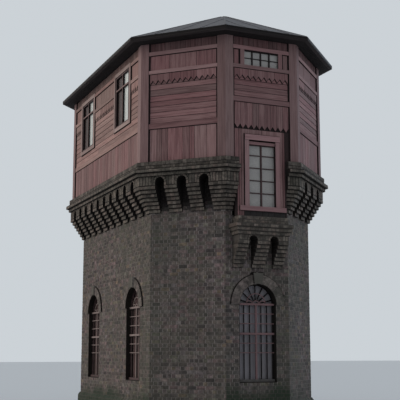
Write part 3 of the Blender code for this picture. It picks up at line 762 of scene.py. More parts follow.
def brick_skin(face):
    """The bricks of one face of the trunk."""
    reach = corner_at(face, PROUD) + JOINT / 2
    top = CORBEL_BOTTOM if face in ENDS else SLOT_TOP
    bm = new_sheet(-reach, reach, PLINTH_CHAMFER_TOP, top)
    lay_courses(bm, reach, PLINTH_CHAMFER_TOP, top)
    foot, head, rise = KEYSTONE
    for middle, half, _ in arched_openings(face):
        crown = ARCH_SPRING + half
        pierce(bm, arch(middle, half, ARCH_SILL, ARCH_SPRING))
        pierce(bm, arch(middle, half + RING_WIDTH + JOINT / 2, ARCH_SPRING, ARCH_SPRING, 20))
        key = [(-foot, 0.0), (foot, 0.0), (head + JOINT, rise + JOINT), (-head - JOINT, rise + JOINT)]
        pierce(bm, [(middle + x, crown + y) for x, y in key])
    hidden = [unit for unit in bm.faces if is_hidden(face, unit.calc_center_median())]
    bmesh.ops.delete(bm, geom=hidden, context="FACES")
    raise_units(bm, JOINT, PROUD, BRICK_ARRIS)
    # Painted shade: bricks inside the cornice slots darken towards the corbels; none on the ends.
    soot = face_layer(bm, "soot")
    for unit in bm.faces:
        height = unit.calc_center_median().y - CORBEL_BOTTOM
        unit[soot] = 0.0 if face in ENDS else CORBEL_SHADE * min(1.0, max(0.0, height / SHADE_RISE))
    return to_wall(bm, "bricks_" + face, face, "wall_brick")


total = 0
for face in FACES:
    total += len(brick_skin(face).data.polygons)
    coat("brick_wall_" + face, "lime_mortar")
print("faces in the brick skins", total)


# %% The plinth
PLINTH_COURSES = 6


def plinth_skin(face):
    """Bricks on the plinth and the sloped course on top of it."""
    reach = corner_at(face, PLINTH_OUT + PROUD) + JOINT / 2
    bm = new_sheet(-reach, reach, 0.0, PLINTH_TOP)
    lay_courses(bm, reach, PLINTH_TOP - COURSE * PLINTH_COURSES, PLINTH_TOP, first=1)
    raise_units(bm, JOINT, PROUD, BRICK_ARRIS)
    to_wall(bm, "plinth_" + face, face, "wall_brick", lift=PLINTH_OUT)
    rise = PLINTH_CHAMFER_TOP - PLINTH_TOP
    bm = new_sheet(-reach, reach, 0.0, math.hypot(rise, PLINTH_OUT))
    slice_sheet(bm, 0, [HEADER * i for i in range(-40, 41)])
    number_units(bm)
    raise_units(bm, JOINT, 0.004, BRICK_ARRIS)
    lean = Matrix.Rotation(-math.atan2(PLINTH_OUT, rise), 4, "X")
    bmesh.ops.transform(bm, matrix=Matrix.Translation((0.0, PLINTH_TOP, PLINTH_OUT)) @ lean, verts=bm.verts)
    to_wall(bm, "plinth_slope_" + face, face, "wall_brick")


for face in FACES:
    plinth_skin(face)


# %% [markdown]
# ## Arch rings, keystones and jambs
#
# A round arch is built of wedge-shaped bricks, the voussoirs. One wedge is a small rectangle
# spun about the arch's centre, so that its sides point there by themselves. The ring stands
# 40 mm proud of the wall, with a thin black line of painted shadow round it, and a keystone locks
# its crown. The reveal is lined in near-black as painted shade.

# %% Voussoirs
RING_DEPTH = (-0.04, 0.040)
KEY_DEPTH = (-0.03, 0.070)
REVEAL_DEPTH = (-0.19, 0.034)
SHADOW_LINE = (0.001, 0.015)
SHADOW_OUT = 0.026
LINING = (-0.008, 0.002)
WEDGE_STEP = 0.13


def spin_bar(bm, centre, radii, out, angles, steps, shade=0.0):
    """Spin a small rectangle about an arch's centre from one angle to another."""
    tint = face_layer(bm, "tint")
    ray = Vector((math.cos(angles[0]), math.sin(angles[0]), 0.0))
    corners = [bm.verts.new(centre + ray * radii[i] + Vector((0.0, 0.0, out[j])))
               for i, j in ((0, 0), (1, 0), (1, 1), (0, 1))]
    cap = bm.faces.new(corners)
    cap[tint] = shade
    bmesh.ops.spin(bm, geom=with_rims([cap]), cent=centre, axis=(0.0, 0.0, 1.0), dvec=(0.0, 0.0, 0.0),
                   angle=angles[1] - angles[0], steps=steps, use_merge=False, use_duplicate=False)


def arch_ring(bm, middle, spring, radii, out, count, first=0.0, last=math.pi, joint=0.008):
    """A run of voussoirs between two angles."""
    gap = joint / (radii[0] + radii[1])
    step = (last - first) / count
    for index in range(count):
        start, stop = first + step * index + gap, first + step * (index + 1) - gap
        steps = max(2, round((stop - start) / WEDGE_STEP))
        spin_bar(bm, Vector((middle, spring, 0.0)), radii, out, (start, stop), steps, BUILD.random())


def window_surround(face, middle, half, ending):
    """Arch ring, keystone, a black band painted as their shadow, and the reveal's lining painted dark as
    shade.
    """
    foot, head, rise = KEYSTONE
    crown, edge = ARCH_SPRING + half, half + RING_WIDTH
    shadow, ring, key, reveal = [bmesh.new() for _ in range(4)]
    # A near-black band just outside the ring paints its shadow line.
    line = [edge + gap for gap in SHADOW_LINE]
    arch_ring(shadow, middle, ARCH_SPRING, line, (RING_DEPTH[0], SHADOW_OUT), 1, joint=0.0)
    lock = math.asin((foot + 0.004) / (half + RING_WIDTH / 2))
    for first, last in ((0.0, math.pi / 2 - lock), (math.pi / 2 + lock, math.pi)):
        arch_ring(ring, middle, ARCH_SPRING, (half + 0.002, edge), RING_DEPTH, 4, first, last)
    # The ring's flanks carry painted shade.
    to_wall(ring, "arch_ring_" + ending, face, "ring_brick", soot=0.95)
    corners = add_block(key, (middle - foot, middle + foot), (crown - 0.004, crown + rise), KEY_DEPTH)
    for vert in corners:
        if vert.co.y > crown:
            vert.co.x = middle + (vert.co.x - middle) * head / foot
    round_front(key, corners, 0.008, 2)
    to_wall(key, "keystone_" + ending, face, "keystone_stone", soot=0.9)
    # A near-black strip beside the keystone paints its shadow.
    side = add_block(shadow, (middle - foot - 0.016, middle - foot + 0.004), (crown - 0.002, crown + rise),
                     (KEY_DEPTH[0], KEY_DEPTH[1] - 0.012))
    for vert in side:
        if vert.co.y > crown + 0.01:
            vert.co.x += foot - head
    to_wall(shadow, "ring_shadow_" + ending, face, "sooty_lining")
    # The reveal's near-black lining is painted shade.
    sides = [half + gap for gap in LINING]
    arch_ring(reveal, middle, ARCH_SPRING, sides, REVEAL_DEPTH, 1, joint=0.0)
    for jamb in both_sides(middle, *sides):
        add_block(reveal, jamb, (ARCH_SILL, ARCH_SPRING), (REVEAL_DEPTH[0], 0.004))
    sill = (ARCH_SILL - 0.012, ARCH_SILL + 0.006)
    add_block(reveal, (middle - half, middle + half), sill, (REVEAL_DEPTH[0], 0.006))
    to_wall(reveal, "reveal_" + ending, face, "sooty_lining")


for face in FACES:
    for middle, half, ending in arched_openings(face):
        window_surround(face, middle, half, ending)
        print("arch", ending, "width", round(2 * half, 3))


# %% [markdown]
# ## The corbelled cornice
#
# A corbel table carries the wider tank house: each course steps out a little further than the
# one below, and arch-headed slots part it into brackets. Above it come a frieze of bricks on
# end, a projecting string course, and a low parapet. The nose of every corbel brick is worn
# round, which is why the courses read as rows of beads from the side.

# %% Runs of single bricks
CORBEL_COURSES = 7
FRIEZE_OUT = 0.37
FRIEZE_BOTTOM = CORBEL_BOTTOM + CORBEL_COURSES * COURSE
FRIEZE_TOP = 5.761
STRING_OUT = 0.43
STRING_TOP = 5.845
TIP_TOP = 5.930
PARAPET_OUT = 0.41
BED = 0.003
PERPEND = 0.005
ON_END = 0.074
BRICK_DEPTH = 0.13
UNTRUE = 0.002
END_LAP = 0.004
ON_END_ARRIS = 0.004
CORBEL_NOSE = 0.014
SLOT_RING = (-0.003, 0.046)
RING_SEAT = 0.02


def brick_run(low, high, turn):
    """Cut a run into headers, starting from either end, without slivers."""
    stops = [low]
    while stops[-1] + HEADER < high - HEADER * 0.35:
        stops.append(stops[-1] + HEADER)
    stops.append(high)
    pairs = list(zip(stops, stops[1:]))
    return [(low + high - b, low + high - a) for a, b in pairs] if turn else pairs


def add_course(bm, run, bottom, out, turn, nose, height=COURSE, back=None, ends=(0.0, 0.0)):
    """One course of headers along a run, with rounded noses."""
    low, high = run
    back = max(0.0, out - BRICK_DEPTH) if back is None else back
    levels = (bottom - BED, bottom + height - JOINT - BED / 2)
    for a, b in brick_run(low, high, turn):
        start = a + (PERPEND / 2 if a > low + TINY else -ends[0])
        stop = b - (PERPEND / 2 if b < high - TINY else -ends[1])
        front = out + PROUD + BUILD.uniform(-UNTRUE, UNTRUE)
        round_front(bm, add_block(bm, (start, stop), levels, (back, front)), nose, 2, True)


def cornice_spans(face):
    """(low, high) of each corbel between the slots; None stands for the mitre."""
    if face in ENDS:
        return [(None, -BAY_HALF), (BAY_HALF, None)]
    edges = [None]
    for middle in slot_middles(face):
        edges += [middle - SLOT_WIDTH / 2, middle + SLOT_WIDTH / 2]
    edges.append(None)
    return list(zip(edges[::2], edges[1::2]))


def resolve(face, span, out):
    """Numbers for a span whose outer end is the mitre at a distance out."""
    reach = corner_at(face, out)
    low, high = span
    return (-reach if low is None else low), (reach if high is None else high)


# %% Corbels, frieze, string course and parapet
def corbel_table(face):
    """The stepped brackets of one face."""
    bm = bmesh.new()
    for step in range(CORBEL_COURSES):
        out = FRIEZE_OUT * (step + 1) / CORBEL_COURSES
        for span in cornice_spans(face):
            ends = [0.0 if end is None or face in ENDS else END_LAP for end in span]
            add_course(bm, resolve(face, span, out + PROUD), CORBEL_BOTTOM + step * COURSE, out, step % 2,
                       CORBEL_NOSE, ends=ends)
    # Painted shade on the flanks and undersides of the corbel bricks.
    to_wall(bm, "corbels_" + face, face, "cornice_brick", soot=0.90, level=0.76)


def frieze(face):
    """Bricks on end between the slots, and a ring of small bricks over each slot."""
    reach = corner_at(face, FRIEZE_OUT + PROUD) + JOINT / 2
    bm = new_sheet(-reach, reach, FRIEZE_BOTTOM, FRIEZE_TOP)
    slice_sheet(bm, 0, [ON_END * (i + 0.5) for i in range(-45, 45)])
    number_units(bm)
    spring = SLOT_TOP - SLOT_WIDTH / 2
    for middle in slot_middles(face):
        ring = arch(middle, SLOT_WIDTH / 2 + 0.052, FRIEZE_BOTTOM - 0.1, spring, 12)
        pierce(bm, [(x, min(y, FRIEZE_TOP + 0.05)) for x, y in ring])
    if face in ENDS:
        pierce(bm, oblong(-BAY_HALF, BAY_HALF, FRIEZE_BOTTOM - 0.1, FRIEZE_TOP + 0.1))
    raise_units(bm, JOINT, PROUD, ON_END_ARRIS)
    # Painted shade on the flanks of the bricks on end and of the slot rings.
    to_wall(bm, "frieze_" + face, face, "cornice_brick", lift=FRIEZE_OUT, soot=0.9)
    if face in ENDS:
        return
    bm = bmesh.new()
    radii = [SLOT_WIDTH / 2 + gap for gap in SLOT_RING]
    depth = (RING_SEAT, FRIEZE_OUT + PROUD + 0.002)
    for middle in slot_middles(face):
        arch_ring(bm, middle, spring, radii, depth, 7)
        for edges in both_sides(middle, *radii):
            add_block(bm, edges, (FRIEZE_BOTTOM - BED, spring - 0.004), depth)
    to_wall(bm, "slot_rings_" + face, face, "cornice_brick", soot=0.95, limit=0.5)


def crown_courses(face):
    """String course, tip course and the two courses of the parapet."""
    spans = cornice_spans(face) if face in ENDS else [(None, None)]
    middle = (TIP_TOP + PARAPET_TOP) / 2
    string = ((FRIEZE_TOP, STRING_TOP, STRING_OUT, 0.014), (STRING_TOP, TIP_TOP, TIP_OUT, 0.016))
    parapet = ((TIP_TOP, middle, PARAPET_OUT, 0.008), (middle, PARAPET_TOP + JOINT, PARAPET_OUT, 0.010))
    # Painted shade on the flanks and undersides of the string course and the parapet.
    for name, courses, material, soot, limit in (("string_course_", string, "cornice_brick", 0.85, 0.4),
                                                 ("parapet_", parapet, "parapet_brick", 0.7, 0.2)):
        bm = bmesh.new()
        for turn, (bottom, top, out, nose) in enumerate(courses):
            for span in spans:
                add_course(bm, resolve(face, span, out + PROUD), bottom, out, turn, nose, top - bottom)
        to_wall(bm, name + face, face, material, soot=soot, limit=limit)


for face in FACES:
    corbel_table(face)
    frieze(face)
    crown_courses(face)
# The cornice and bay-base solids get the near-black mortar, painted shade between the courses.
for name in nodes:
    if name.startswith(("cornice_", "bay_base_")):
        coat(name, "cornice_mortar_painted_shade")


# %% [markdown]
# ## The bases of the two bays
#
# Each end of the tank house runs down in a narrow bay on a brick base of its own. It is built
# like the cornice, but its flanks show too, so every course is a row of blocks as deep as it
# stands out from the wall, and the painted shade on its outer flanks is lighter.

# %% Bay bases
BASE_COURSES = 7
BASE_OUT = 0.36
BASE_TIP_BOTTOM = 4.333
BASE_TIP_STEP = 0.03
BASE_TIP_COURSES = 3
BASE_NOSE = 0.016
TIP_NOSE = 0.020
CAP_NOSE = 0.010
FLANK_SHADE = 0.42


def bay_base(face):
    """Steps, arch-headed slots, oversailing courses and cap of one bay's base."""
    bm = bmesh.new()
    inner, outer = BASE_SLOT_X - BASE_SLOT_WIDTH / 2, BASE_SLOT_X + BASE_SLOT_WIDTH / 2

    def course(runs, bottom, out, turn, nose, height=COURSE):
        for run in runs:
            add_course(bm, run, bottom, out, turn, nose, height, 0.001, (END_LAP, END_LAP))

    for step in range(BASE_COURSES):
        course([(-BAY_HALF, -outer), (-inner, inner), (outer, BAY_HALF)], BASE_BOTTOM + step * COURSE,
               BASE_OUT * (step + 1) / BASE_COURSES, step % 2, BASE_NOSE)
    for step in range(BASE_TIP_COURSES):
        over = BASE_TIP_STEP * (step + 1)
        course([(-BAY_HALF - over, BAY_HALF + over)], BASE_TIP_BOTTOM + step * COURSE, BASE_OUT + over,
               step % 2, TIP_NOSE)
    bottom = BASE_TIP_BOTTOM + BASE_TIP_COURSES * COURSE
    for step, height in enumerate((COURSE, BASE_TOP - bottom - COURSE + JOINT)):
        course([(-BAY_HALF, BAY_HALF)], bottom + step * COURSE, BASE_OUT, step, CAP_NOSE, height)
    spring = BASE_SLOT_TOP - BASE_SLOT_WIDTH / 2
    radii = [BASE_SLOT_WIDTH / 2 + gap for gap in SLOT_RING]
    for middle in (-BASE_SLOT_X, BASE_SLOT_X):
        arch_ring(bm, middle, spring, radii, (RING_SEAT, BASE_OUT + PROUD + 0.004), 7)
    bmesh.ops.recalc_face_normals(bm, faces=bm.faces)
    # Painted shade on the flanks and undersides, lighter on the bay's outer flanks.
    paint_shade_on_flanks(bm, 0.88, level=0.9)
    soot = face_layer(bm, "soot")
    for flank in bm.faces:
        if abs(flank.normal.x) > 0.8 and abs(flank.calc_center_median().x) > BAY_HALF - 0.02:
            flank[soot] = FLANK_SHADE
    to_wall(bm, "bay_base_bricks_" + face, face, "cornice_brick")
    foot = BASE_BOTTOM + BASE_COURSES * COURSE
    bm = new_sheet(-BAY_HALF - END_LAP, BAY_HALF + END_LAP, foot, BASE_TIP_BOTTOM)
    slice_sheet(bm, 0, [ON_END * (i + 0.5) for i in range(-10, 10)])
    number_units(bm)
    for middle in (-BASE_SLOT_X, BASE_SLOT_X):
        pierce(bm, arch(middle, BASE_SLOT_WIDTH / 2 + 0.05, foot - 0.1, spring, 12))
    raise_units(bm, JOINT, PROUD, ON_END_ARRIS)
    to_wall(bm, "bay_base_frieze_" + face, face, "cornice_brick", lift=BASE_OUT, soot=0.9)


for face in ENDS:
    bay_base(face)
print("bay bases from", round(BASE_BOTTOM, 3), "to", round(BASE_TOP, 3))


# %% [markdown]
# ## Boards
#
# The tank house is boarded in bands. Low down the boards stand upright, then a ledge, then they
# lie level, and under the eaves come panels between two rails. It is the same sheet method as
# the bricks, with thinner joints and a UV map that carries the grain. Where an upright band ends,
# its boards are cut to a row of points. Each board there is one zigzag polygon, and a dark copy
# behind it, a little lower, draws the shadow of the points.

# %% Levels of the boarding
POST_WIDTH = 0.19
POST_OUT = BOARD_OUT + 0.040
RAIL_OUT = BOARD_OUT + 0.034
SOFFIT_FOOT = 9.045
LEDGE = (6.925, 7.05)
RAIL_END = (7.46, 7.58)
RAIL_LOW = (8.28, 8.37)
RAIL_HIGH = (8.74, 8.835)
SMALL_HALF = 0.558
TALL = (0.46, 4.882, 6.69)
TALL_SILL_HALF = 0.60
SIDE_WINDOW_X = 1.53
SIDE_WINDOW_HALF = 0.66
SIDE_WINDOW = (7.30, 8.86)
BOARD_GAP = 0.008
BOARD_STAND = 0.006
POST_GAP = 0.032
RAIL_GAP = 0.012
UPPER_TEETH = (8.022, 8.118)
LOWER_TEETH = (6.82, 6.92)
TOOTH = 0.1445
TEETH_STAND = 0.022
SHADOW_STAND = 0.011
SHADOW_LEAN = 0.007
SHADOW_DROP = 0.030
PANEL_JOINTS = (-0.70, -0.35, 0.35, 0.70)
TEETH_JOINTS = (-0.35, 0.35)
UNEVEN = (0.19, 0.115, 0.175, 0.40, 0.167, 0.13, 0.31, 0.26)


def bay_edge(face):
    """Where the boards of a face stop, at the corner posts."""
    return corner_at(face, BOARD_OUT) - POST_WIDTH


def stretches(face, gap, small=False):
    """(low, high) of the stretches between the posts and the window casings."""
    edge = bay_edge(face)
    inner, outer = SIDE_WINDOW_X - SIDE_WINDOW_HALF, SIDE_WINDOW_X + SIDE_WINDOW_HALF
    pairs = [(-edge, edge)]
    if face in SIDES:
        pairs = [(-edge, -outer), (-inner, inner), (outer, edge)]
    if face in ENDS and small:
        pairs = [(-edge, -SMALL_HALF), (SMALL_HALF, edge)]
    return [(low + gap, high - gap) for low, high in pairs]


def even_stops(low, high, width, spread):
    """Joints between boards of nearly one width."""
    count = max(1, round((high - low) / width))
    return [low + (high - low) * i / count + BUILD.uniform(-spread, spread) * width for i in range(1, count)]


def uneven_stops(low, high, turn):
    """Joints between boards of very different widths."""
    widths = []
    while sum(widths) < high - low - 0.05:
        widths.append(UNEVEN[(len(widths) + turn) % len(UNEVEN)])
    scale = (high - low) / sum(widths)
    return [low + sum(widths[:i]) * scale for i in range(1, len(widths))]


def boarding(name, face, zone, upright, joints, holes=(), lap=0.0, material="faded_red_boards", shaded=()):
    """A band of boards, upright or level, with its window holes cut out."""
    low, high, down, up = zone
    bm = new_sheet(low, high, down, up)
    slice_sheet(bm, 0 if upright else 1, joints)
    if not upright and high - low > 3.0:
        rows = [down, *joints, up]
        for bottom, top in zip(rows, rows[1:]):
            slice_sheet(bm, 0, [low + (high - low) * BUILD.uniform(0.25, 0.75)],
                        lambda f, b=bottom, t=top: b < f.calc_center_median().y < t)
    number_units(bm)
    for hole in holes:
        pierce(bm, hole)
    raise_units(bm, BOARD_GAP, BOARD_STAND, 0.002, 0.0012, lap)
    # Painted shade on the boards' flanks, then the listed shares of painted shade along the face.
    paint_shade_on_flanks(bm, 0.8)
    soot = face_layer(bm, "soot")
    for start, stop, share in shaded:
        for part in bm.faces:
            if start < part.calc_center_median().x < stop:
                part[soot] = share
    lay_grain(bm, bm.faces, 1 if upright else 0)
    to_wall(bm, name, face, material, BOARD_OUT)


def saw_teeth(name, face, span, levels, joints, phase, out, material, shift=(0.0, 0.0)):
    """Upright boards whose lower ends are cut to one row of points."""
    low, high = span
    tip, notch, up = levels
    pitch = (high - low) / max(2, round((high - low) / TOOTH))
    first = low + phase * pitch
    bends = [first + pitch * i / 2 for i in range(-2, 2 * round((high - low) / pitch) + 3)]

    def edge_at(x):
        place = ((x - first) / pitch) % 1.0
        return tip + (notch - tip) * (1.0 - abs(2.0 * place - 1.0))

    stops = [low, *[x for x in joints if low + 0.05 < x < high - 0.05], high]
    bm = bmesh.new()
    bm.faces.layers.int.new("unit")
    tint = bm.faces.layers.float.new("tint")
    for start, stop in zip(stops, stops[1:]):
        row = [start, *[x for x in bends if start + 0.004 < x < stop - 0.004], stop]
        corners = [(x, edge_at(x)) for x in row] + [(stop, up), (start, up)]
        board = bm.faces.new([bm.verts.new((x + shift[0], y + shift[1], 0.0)) for x, y in corners])
        board[tint] = BUILD.random()
    raise_units(bm, 0.005, out, 0.002, 0.0008, smallest=0.0)
    lay_grain(bm, bm.faces, 1)
    # Painted shade on the flanks of the teeth, none on their dark shadow copy.
    soot = 0.0 if material == "board_backing" else 0.93
    to_wall(bm, name, face, material, BOARD_OUT, soot=soot)


# %% Board each face
# Shares of painted shade by place along a face: under the eaves, right of the tall casing, under its sill.
EAVE_SHADE = ((-9.0, 9.0, 0.38),)
BAY_SHADE = ((0.535, 0.60, 0.30), (0.60, 0.8, 0.88))
SILL_SHADE = ((-1.0, 1.0, 0.66),)


def side_holes():
    """Outlines of the casings of a long face's two windows."""
    grow = SIDE_WINDOW_HALF + 0.008
    down, up = SIDE_WINDOW[0] - 0.012, SIDE_WINDOW[1] + 0.008
    return [oblong(x - grow, x + grow, down, up) for x in (-SIDE_WINDOW_X, SIDE_WINDOW_X)]


def board_up(face):
    """All the boarding of one face of the tank house."""
    high = bay_edge(face) - POST_GAP
    low = -high
    holes = side_holes() if face in SIDES else ()
    paint = "bleached_red_boards" if face in SIDES else "faded_red_boards"
    boarding("eave_boards_" + face, face, (low, high, RAIL_HIGH[1] + 0.004, SOFFIT_FOOT), True,
             even_stops(low, high, 0.13, 0.12), holes, 0.0, paint, EAVE_SHADE)
    limit = 0.5 if face in CHAMFERS else 1.0
    for index, (start, stop) in enumerate(stretches(face, POST_GAP, True)):
        joints = [x for x in PANEL_JOINTS if start + 0.1 < x < stop - 0.1 and abs(x) < limit]
        zone = (start, stop, RAIL_LOW[1] + 0.004, RAIL_HIGH[0] - RAIL_GAP)
        boarding("panel_%s_%d" % (face, index), face, zone, True, joints, material=paint)
    levels = (*UPPER_TEETH, RAIL_LOW[0] - RAIL_GAP)
    shift = (SHADOW_LEAN if "west" in face else -SHADOW_LEAN, -SHADOW_DROP)
    for index, span in enumerate(stretches(face, POST_GAP)):
        ending = "%s_%d" % (face, index)
        saw_teeth("teeth_shadow_" + ending, face, span, levels, (), 0.0, SHADOW_STAND, "board_backing", shift)
        saw_teeth("teeth_" + ending, face, span, levels, TEETH_JOINTS, 0.0, TEETH_STAND, paint)
    foot = RAIL_END[1] + 0.014 if face in ENDS else LEDGE[1] + 0.004
    head = UPPER_TEETH[1] + 0.03
    boarding("level_boards_" + face, face, (low, high, foot, head), False,
             even_stops(foot, head, 0.143, 0.06), holes, 0.006, paint)
    if face in ENDS:
        board_bay(face, low, high)
        return
    turn = FACES.index(face) * 3 + 3
    joints = uneven_stops(low, high, turn) if face in CHAMFERS else even_stops(low, high, 0.15, 0.2)
    boarding("upright_boards_" + face, face, (low, high, PARAPET_TOP, LEDGE[0] - RAIL_GAP), True, joints,
             material="low_red_boards" if face in SIDES else "faded_red_boards")


def board_bay(face, low, high):
    """The toothed band and the bay's boards round the tall window of an end face."""
    levels = (*LOWER_TEETH, RAIL_END[0] - RAIL_GAP)
    joints = even_stops(low, high, 0.155, 0.0)
    saw_teeth("lower_teeth_" + face, face, (low, high), levels, joints, 0.5, TEETH_STAND, "faded_red_boards")
    half, down, up = TALL
    below = BASE_TOP - 0.1
    holes = [oblong(x - 0.2, x + 0.2, below, PARAPET_TOP) for x in (-BAY_HALF - 0.2, BAY_HALF + 0.2)]
    holes.append(oblong(-half - 0.014, half + 0.014, below, up + 0.014))
    holes.append(oblong(half - 0.1, TALL_SILL_HALF, BASE_TOP - 0.2, down + 0.03))
    boarding("bay_boards_" + face, face, (low, high, BASE_TOP, LOWER_TEETH[0] - 0.004), True,
             (-0.60, -0.535, 0.0, 0.535, 0.60), holes, shaded=BAY_SHADE)
    boarding("sill_boards_" + face, face, (-half - 0.01, TALL_SILL_HALF, BASE_TOP, down + 0.02), True,
             (-0.31, -0.15, 0.0, 0.15, 0.31, 0.46), material="sill_grey", shaded=SILL_SHADE)


for face in FACES:
    board_up(face)
    # The wall behind the boards is near-black, painted shadow in the gaps between boards and trim.
    coat("board_wall_" + face, "board_backing")


# %% [markdown]
# ## Posts, rails and casings
#
# The joints of the boarding are covered by smooth planed boards: a pair at each corner, level
# rails, a ledge, and a casing round each window. Each is a block with its front edges eased.
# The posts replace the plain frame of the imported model. The rails lie a little back from them,
# and the ledge a little back from the rails.

# %% Planed trim
CASING = 0.10
LEDGE_OUT = RAIL_OUT - 0.010
STILE = 0.45


def add_trim(bm, along, up, front=RAIL_OUT, upright=False):
    """One planed board with eased edges."""
    bar(bm, along, up, (BOARD_OUT + 0.0005, front), 0.004, 1 if upright else 0)


def nail_trim(bm, name, face, paint, replaced=()):
    """Put a face's planed boards on its wall, with painted shade on their flanks."""
    to_wall(bm, name + face, face, paint, replaced=replaced, soot=0.92)


def trim_boards(face):
    """Corner boards, rails, ledge and window casings of one face."""
    bm = bmesh.new()
    edge = bay_edge(face)
    for along in both_sides(0.0, edge, corner_at(face, POST_OUT)):
        add_trim(bm, along, (PARAPET_TOP + 0.001, SOFFIT_FOOT), POST_OUT, True)
    if face in SIDES:
        casings = bmesh.new()
        down, up = SIDE_WINDOW
        inner = SIDE_WINDOW_HALF - CASING
        for x in (-SIDE_WINDOW_X, SIDE_WINDOW_X):
            for jamb in both_sides(x, inner, SIDE_WINDOW_HALF):
                add_trim(casings, jamb, SIDE_WINDOW, POST_OUT, True)
            for levels in ((down, down + CASING), (up - CASING, up)):
                add_trim(casings, (x - inner, x + inner), levels, POST_OUT)
        nail_trim(casings, "casings_", face, "side_casing_paint")
    nail_trim(bm, "posts_", face, "faded_red_trim", ["timber_frame_" + face])
    bm = bmesh.new()
    for levels in (RAIL_HIGH, RAIL_LOW):
        for along in stretches(face, 0.0):
            add_trim(bm, along, levels)
    if face in ENDS:
        add_trim(bm, (-edge, edge), RAIL_END)
        for along in both_sides(0.0, STILE, SMALL_HALF):
            add_trim(bm, along, (RAIL_LOW[1], RAIL_HIGH[0]), upright=True)
    nail_trim(bm, "rails_", face, "bleached_red_boards" if face in SIDES else "faded_red_rails")
    if face not in ENDS:
        bm = bmesh.new()
        add_trim(bm, (-edge, edge), LEDGE, LEDGE_OUT)
        nail_trim(bm, "ledge_", face, "bleached_red_boards" if face in SIDES else "faded_red_boards")


for face in FACES:
    trim_boards(face)


# %% [markdown]
# ## Upper windows
#
# A long face has two casement windows with a mullion and one high transom; seen from the camera's
# side the left half of each is painted dark as shade and the right half painted bright as a
# reflection of the sky. An end face has a tall window of ten panes in its bay, with a broad sill,
# and a low one of eight panes between the rails.
# Panes are thin plates set behind the bars.

# %% Windows of the tank house
TALL_GLASS = (0.345, 5.00, 6.442)
TALL_SILL_TOP = 4.992
TALL_LINTEL = 6.558
TALL_MUNTINS = [5.315 + 0.297 * row for row in range(4)]
SIDE_FRAME = ((-0.565, -0.50), (0.455, 0.565))
SIDE_TRANSOM = (8.37, 8.41)
SIDE_PANE = 0.57
SMALL_MUNTINS = (-0.2265, 0.0, 0.2265)
SMALL_PANE = 0.47


def dress(bm, name, face, material, replaced=(), soot=0.9):
    """Finish a mesh of window parts, with painted shade on its flanks."""
    to_wall(bm, name, face, material, replaced=replaced, soot=soot)


def glaze(face, name, panes, material, out, replaced=()):
    """Thin panes of glass."""
    bm = bmesh.new()
    for low, high, down, up in panes:
        add_block(bm, (low, high), (down, up), (out - 0.004, out))
    dress(bm, name, face, material, replaced, 0.0)


def side_windows(face):
    """Two casements in a dark frame, with light muntins."""
    frames, muntins = bmesh.new(), bmesh.new()
    down, up = SIDE_WINDOW[0] + CASING, SIDE_WINDOW[1] - CASING
    back, front = BOARD_OUT - 0.035, BOARD_OUT + 0.024
    for x in (-SIDE_WINDOW_X, SIDE_WINDOW_X):
        low, high = x + SIDE_FRAME[0][1], x + SIDE_FRAME[1][0]
        for left, right in SIDE_FRAME:
            bar(frames, (x + left, x + right), (down - 0.01, up + 0.01), (back, front))
        for levels in ((down - 0.01, down + 0.04), (up - 0.04, up + 0.01)):
            bar(frames, (low, high), levels, (back, front - 0.004))
        bar(muntins, (x - 0.014, x + 0.014), (down, up), (back, front))
        bar(muntins, (low, high), SIDE_TRANSOM, (back, front + 0.002))
    dress(frames, "side_frames_" + face, face, "sash_brown",
          ["side_window_%s_%s" % (face, end) for end in ("left", "right")])
    dress(muntins, "side_muntins_" + face, face, "muntin_brown")
    # Left panes painted dark as shade, right panes painted bright as a reflection of the sky.
    halves = (("dark", -SIDE_PANE, 0.0, ["upper_glass_" + face]), ("bright", 0.0, SIDE_PANE, ()))
    for name, left, right, replaced in halves:
        panes = [(x + left, x + right, down - 0.02, up + 0.02) for x in (-SIDE_WINDOW_X, SIDE_WINDOW_X)]
        glaze(face, name + "_panes_" + face, panes, "pane_" + name, back + 0.004, replaced)


def tall_window(face):
    """Casing, sill, bars and panes of the tall window in the bay."""
    half, down, up = TALL
    glass, foot, head = TALL_GLASS
    front, pane = BOARD_OUT + 0.036, BOARD_OUT - 0.070
    bm = bmesh.new()
    for jamb in both_sides(0.0, glass, half):
        bar(bm, jamb, (TALL_SILL_TOP, TALL_LINTEL), (BOARD_OUT - 0.08, front), 0.004, 1)
    for along, low, high, back, stand, ease in (
            (half, TALL_LINTEL, up, BOARD_OUT, front + 0.012, 0.006),
            (TALL_SILL_HALF, down, TALL_SILL_TOP, BOARD_OUT, front + 0.034, 0.006),
            (glass, head + 0.016, TALL_LINTEL - 0.026, pane, BOARD_OUT + 0.004, 0.004)):
        bar(bm, (-along, along), (low, high), (back, stand), ease, 0)
    # Painted shade: the casing darker below the lintel and darkest below the sill.
    soot = face_layer(bm, "soot")
    for part in bm.faces:
        level = part.calc_center_median().y
        part[soot] = 0.0 if level > TALL_LINTEL else 0.34 if level < TALL_SILL_TOP else 0.18
    dress(bm, "tall_casing_" + face, face, "window_casing_paint", ["tall_window_" + face], 0.95)
    bm = bmesh.new()
    bar(bm, (-0.020, 0.020), (foot, head), (pane, pane + 0.030))
    for level in TALL_MUNTINS:
        bar(bm, (-glass, glass), (level - 0.011, level + 0.011), (pane, pane + 0.026))
    bar(bm, (-glass, glass), (head - 0.002, head + 0.022), (pane, pane + 0.030))
    dress(bm, "tall_muntins_" + face, face, "sash_brown")
    glaze(face, "tall_panes_" + face, [(-glass, glass, foot - 0.02, head + 0.01)], "pane_grey", pane + 0.004,
          ["upper_glass_" + face])


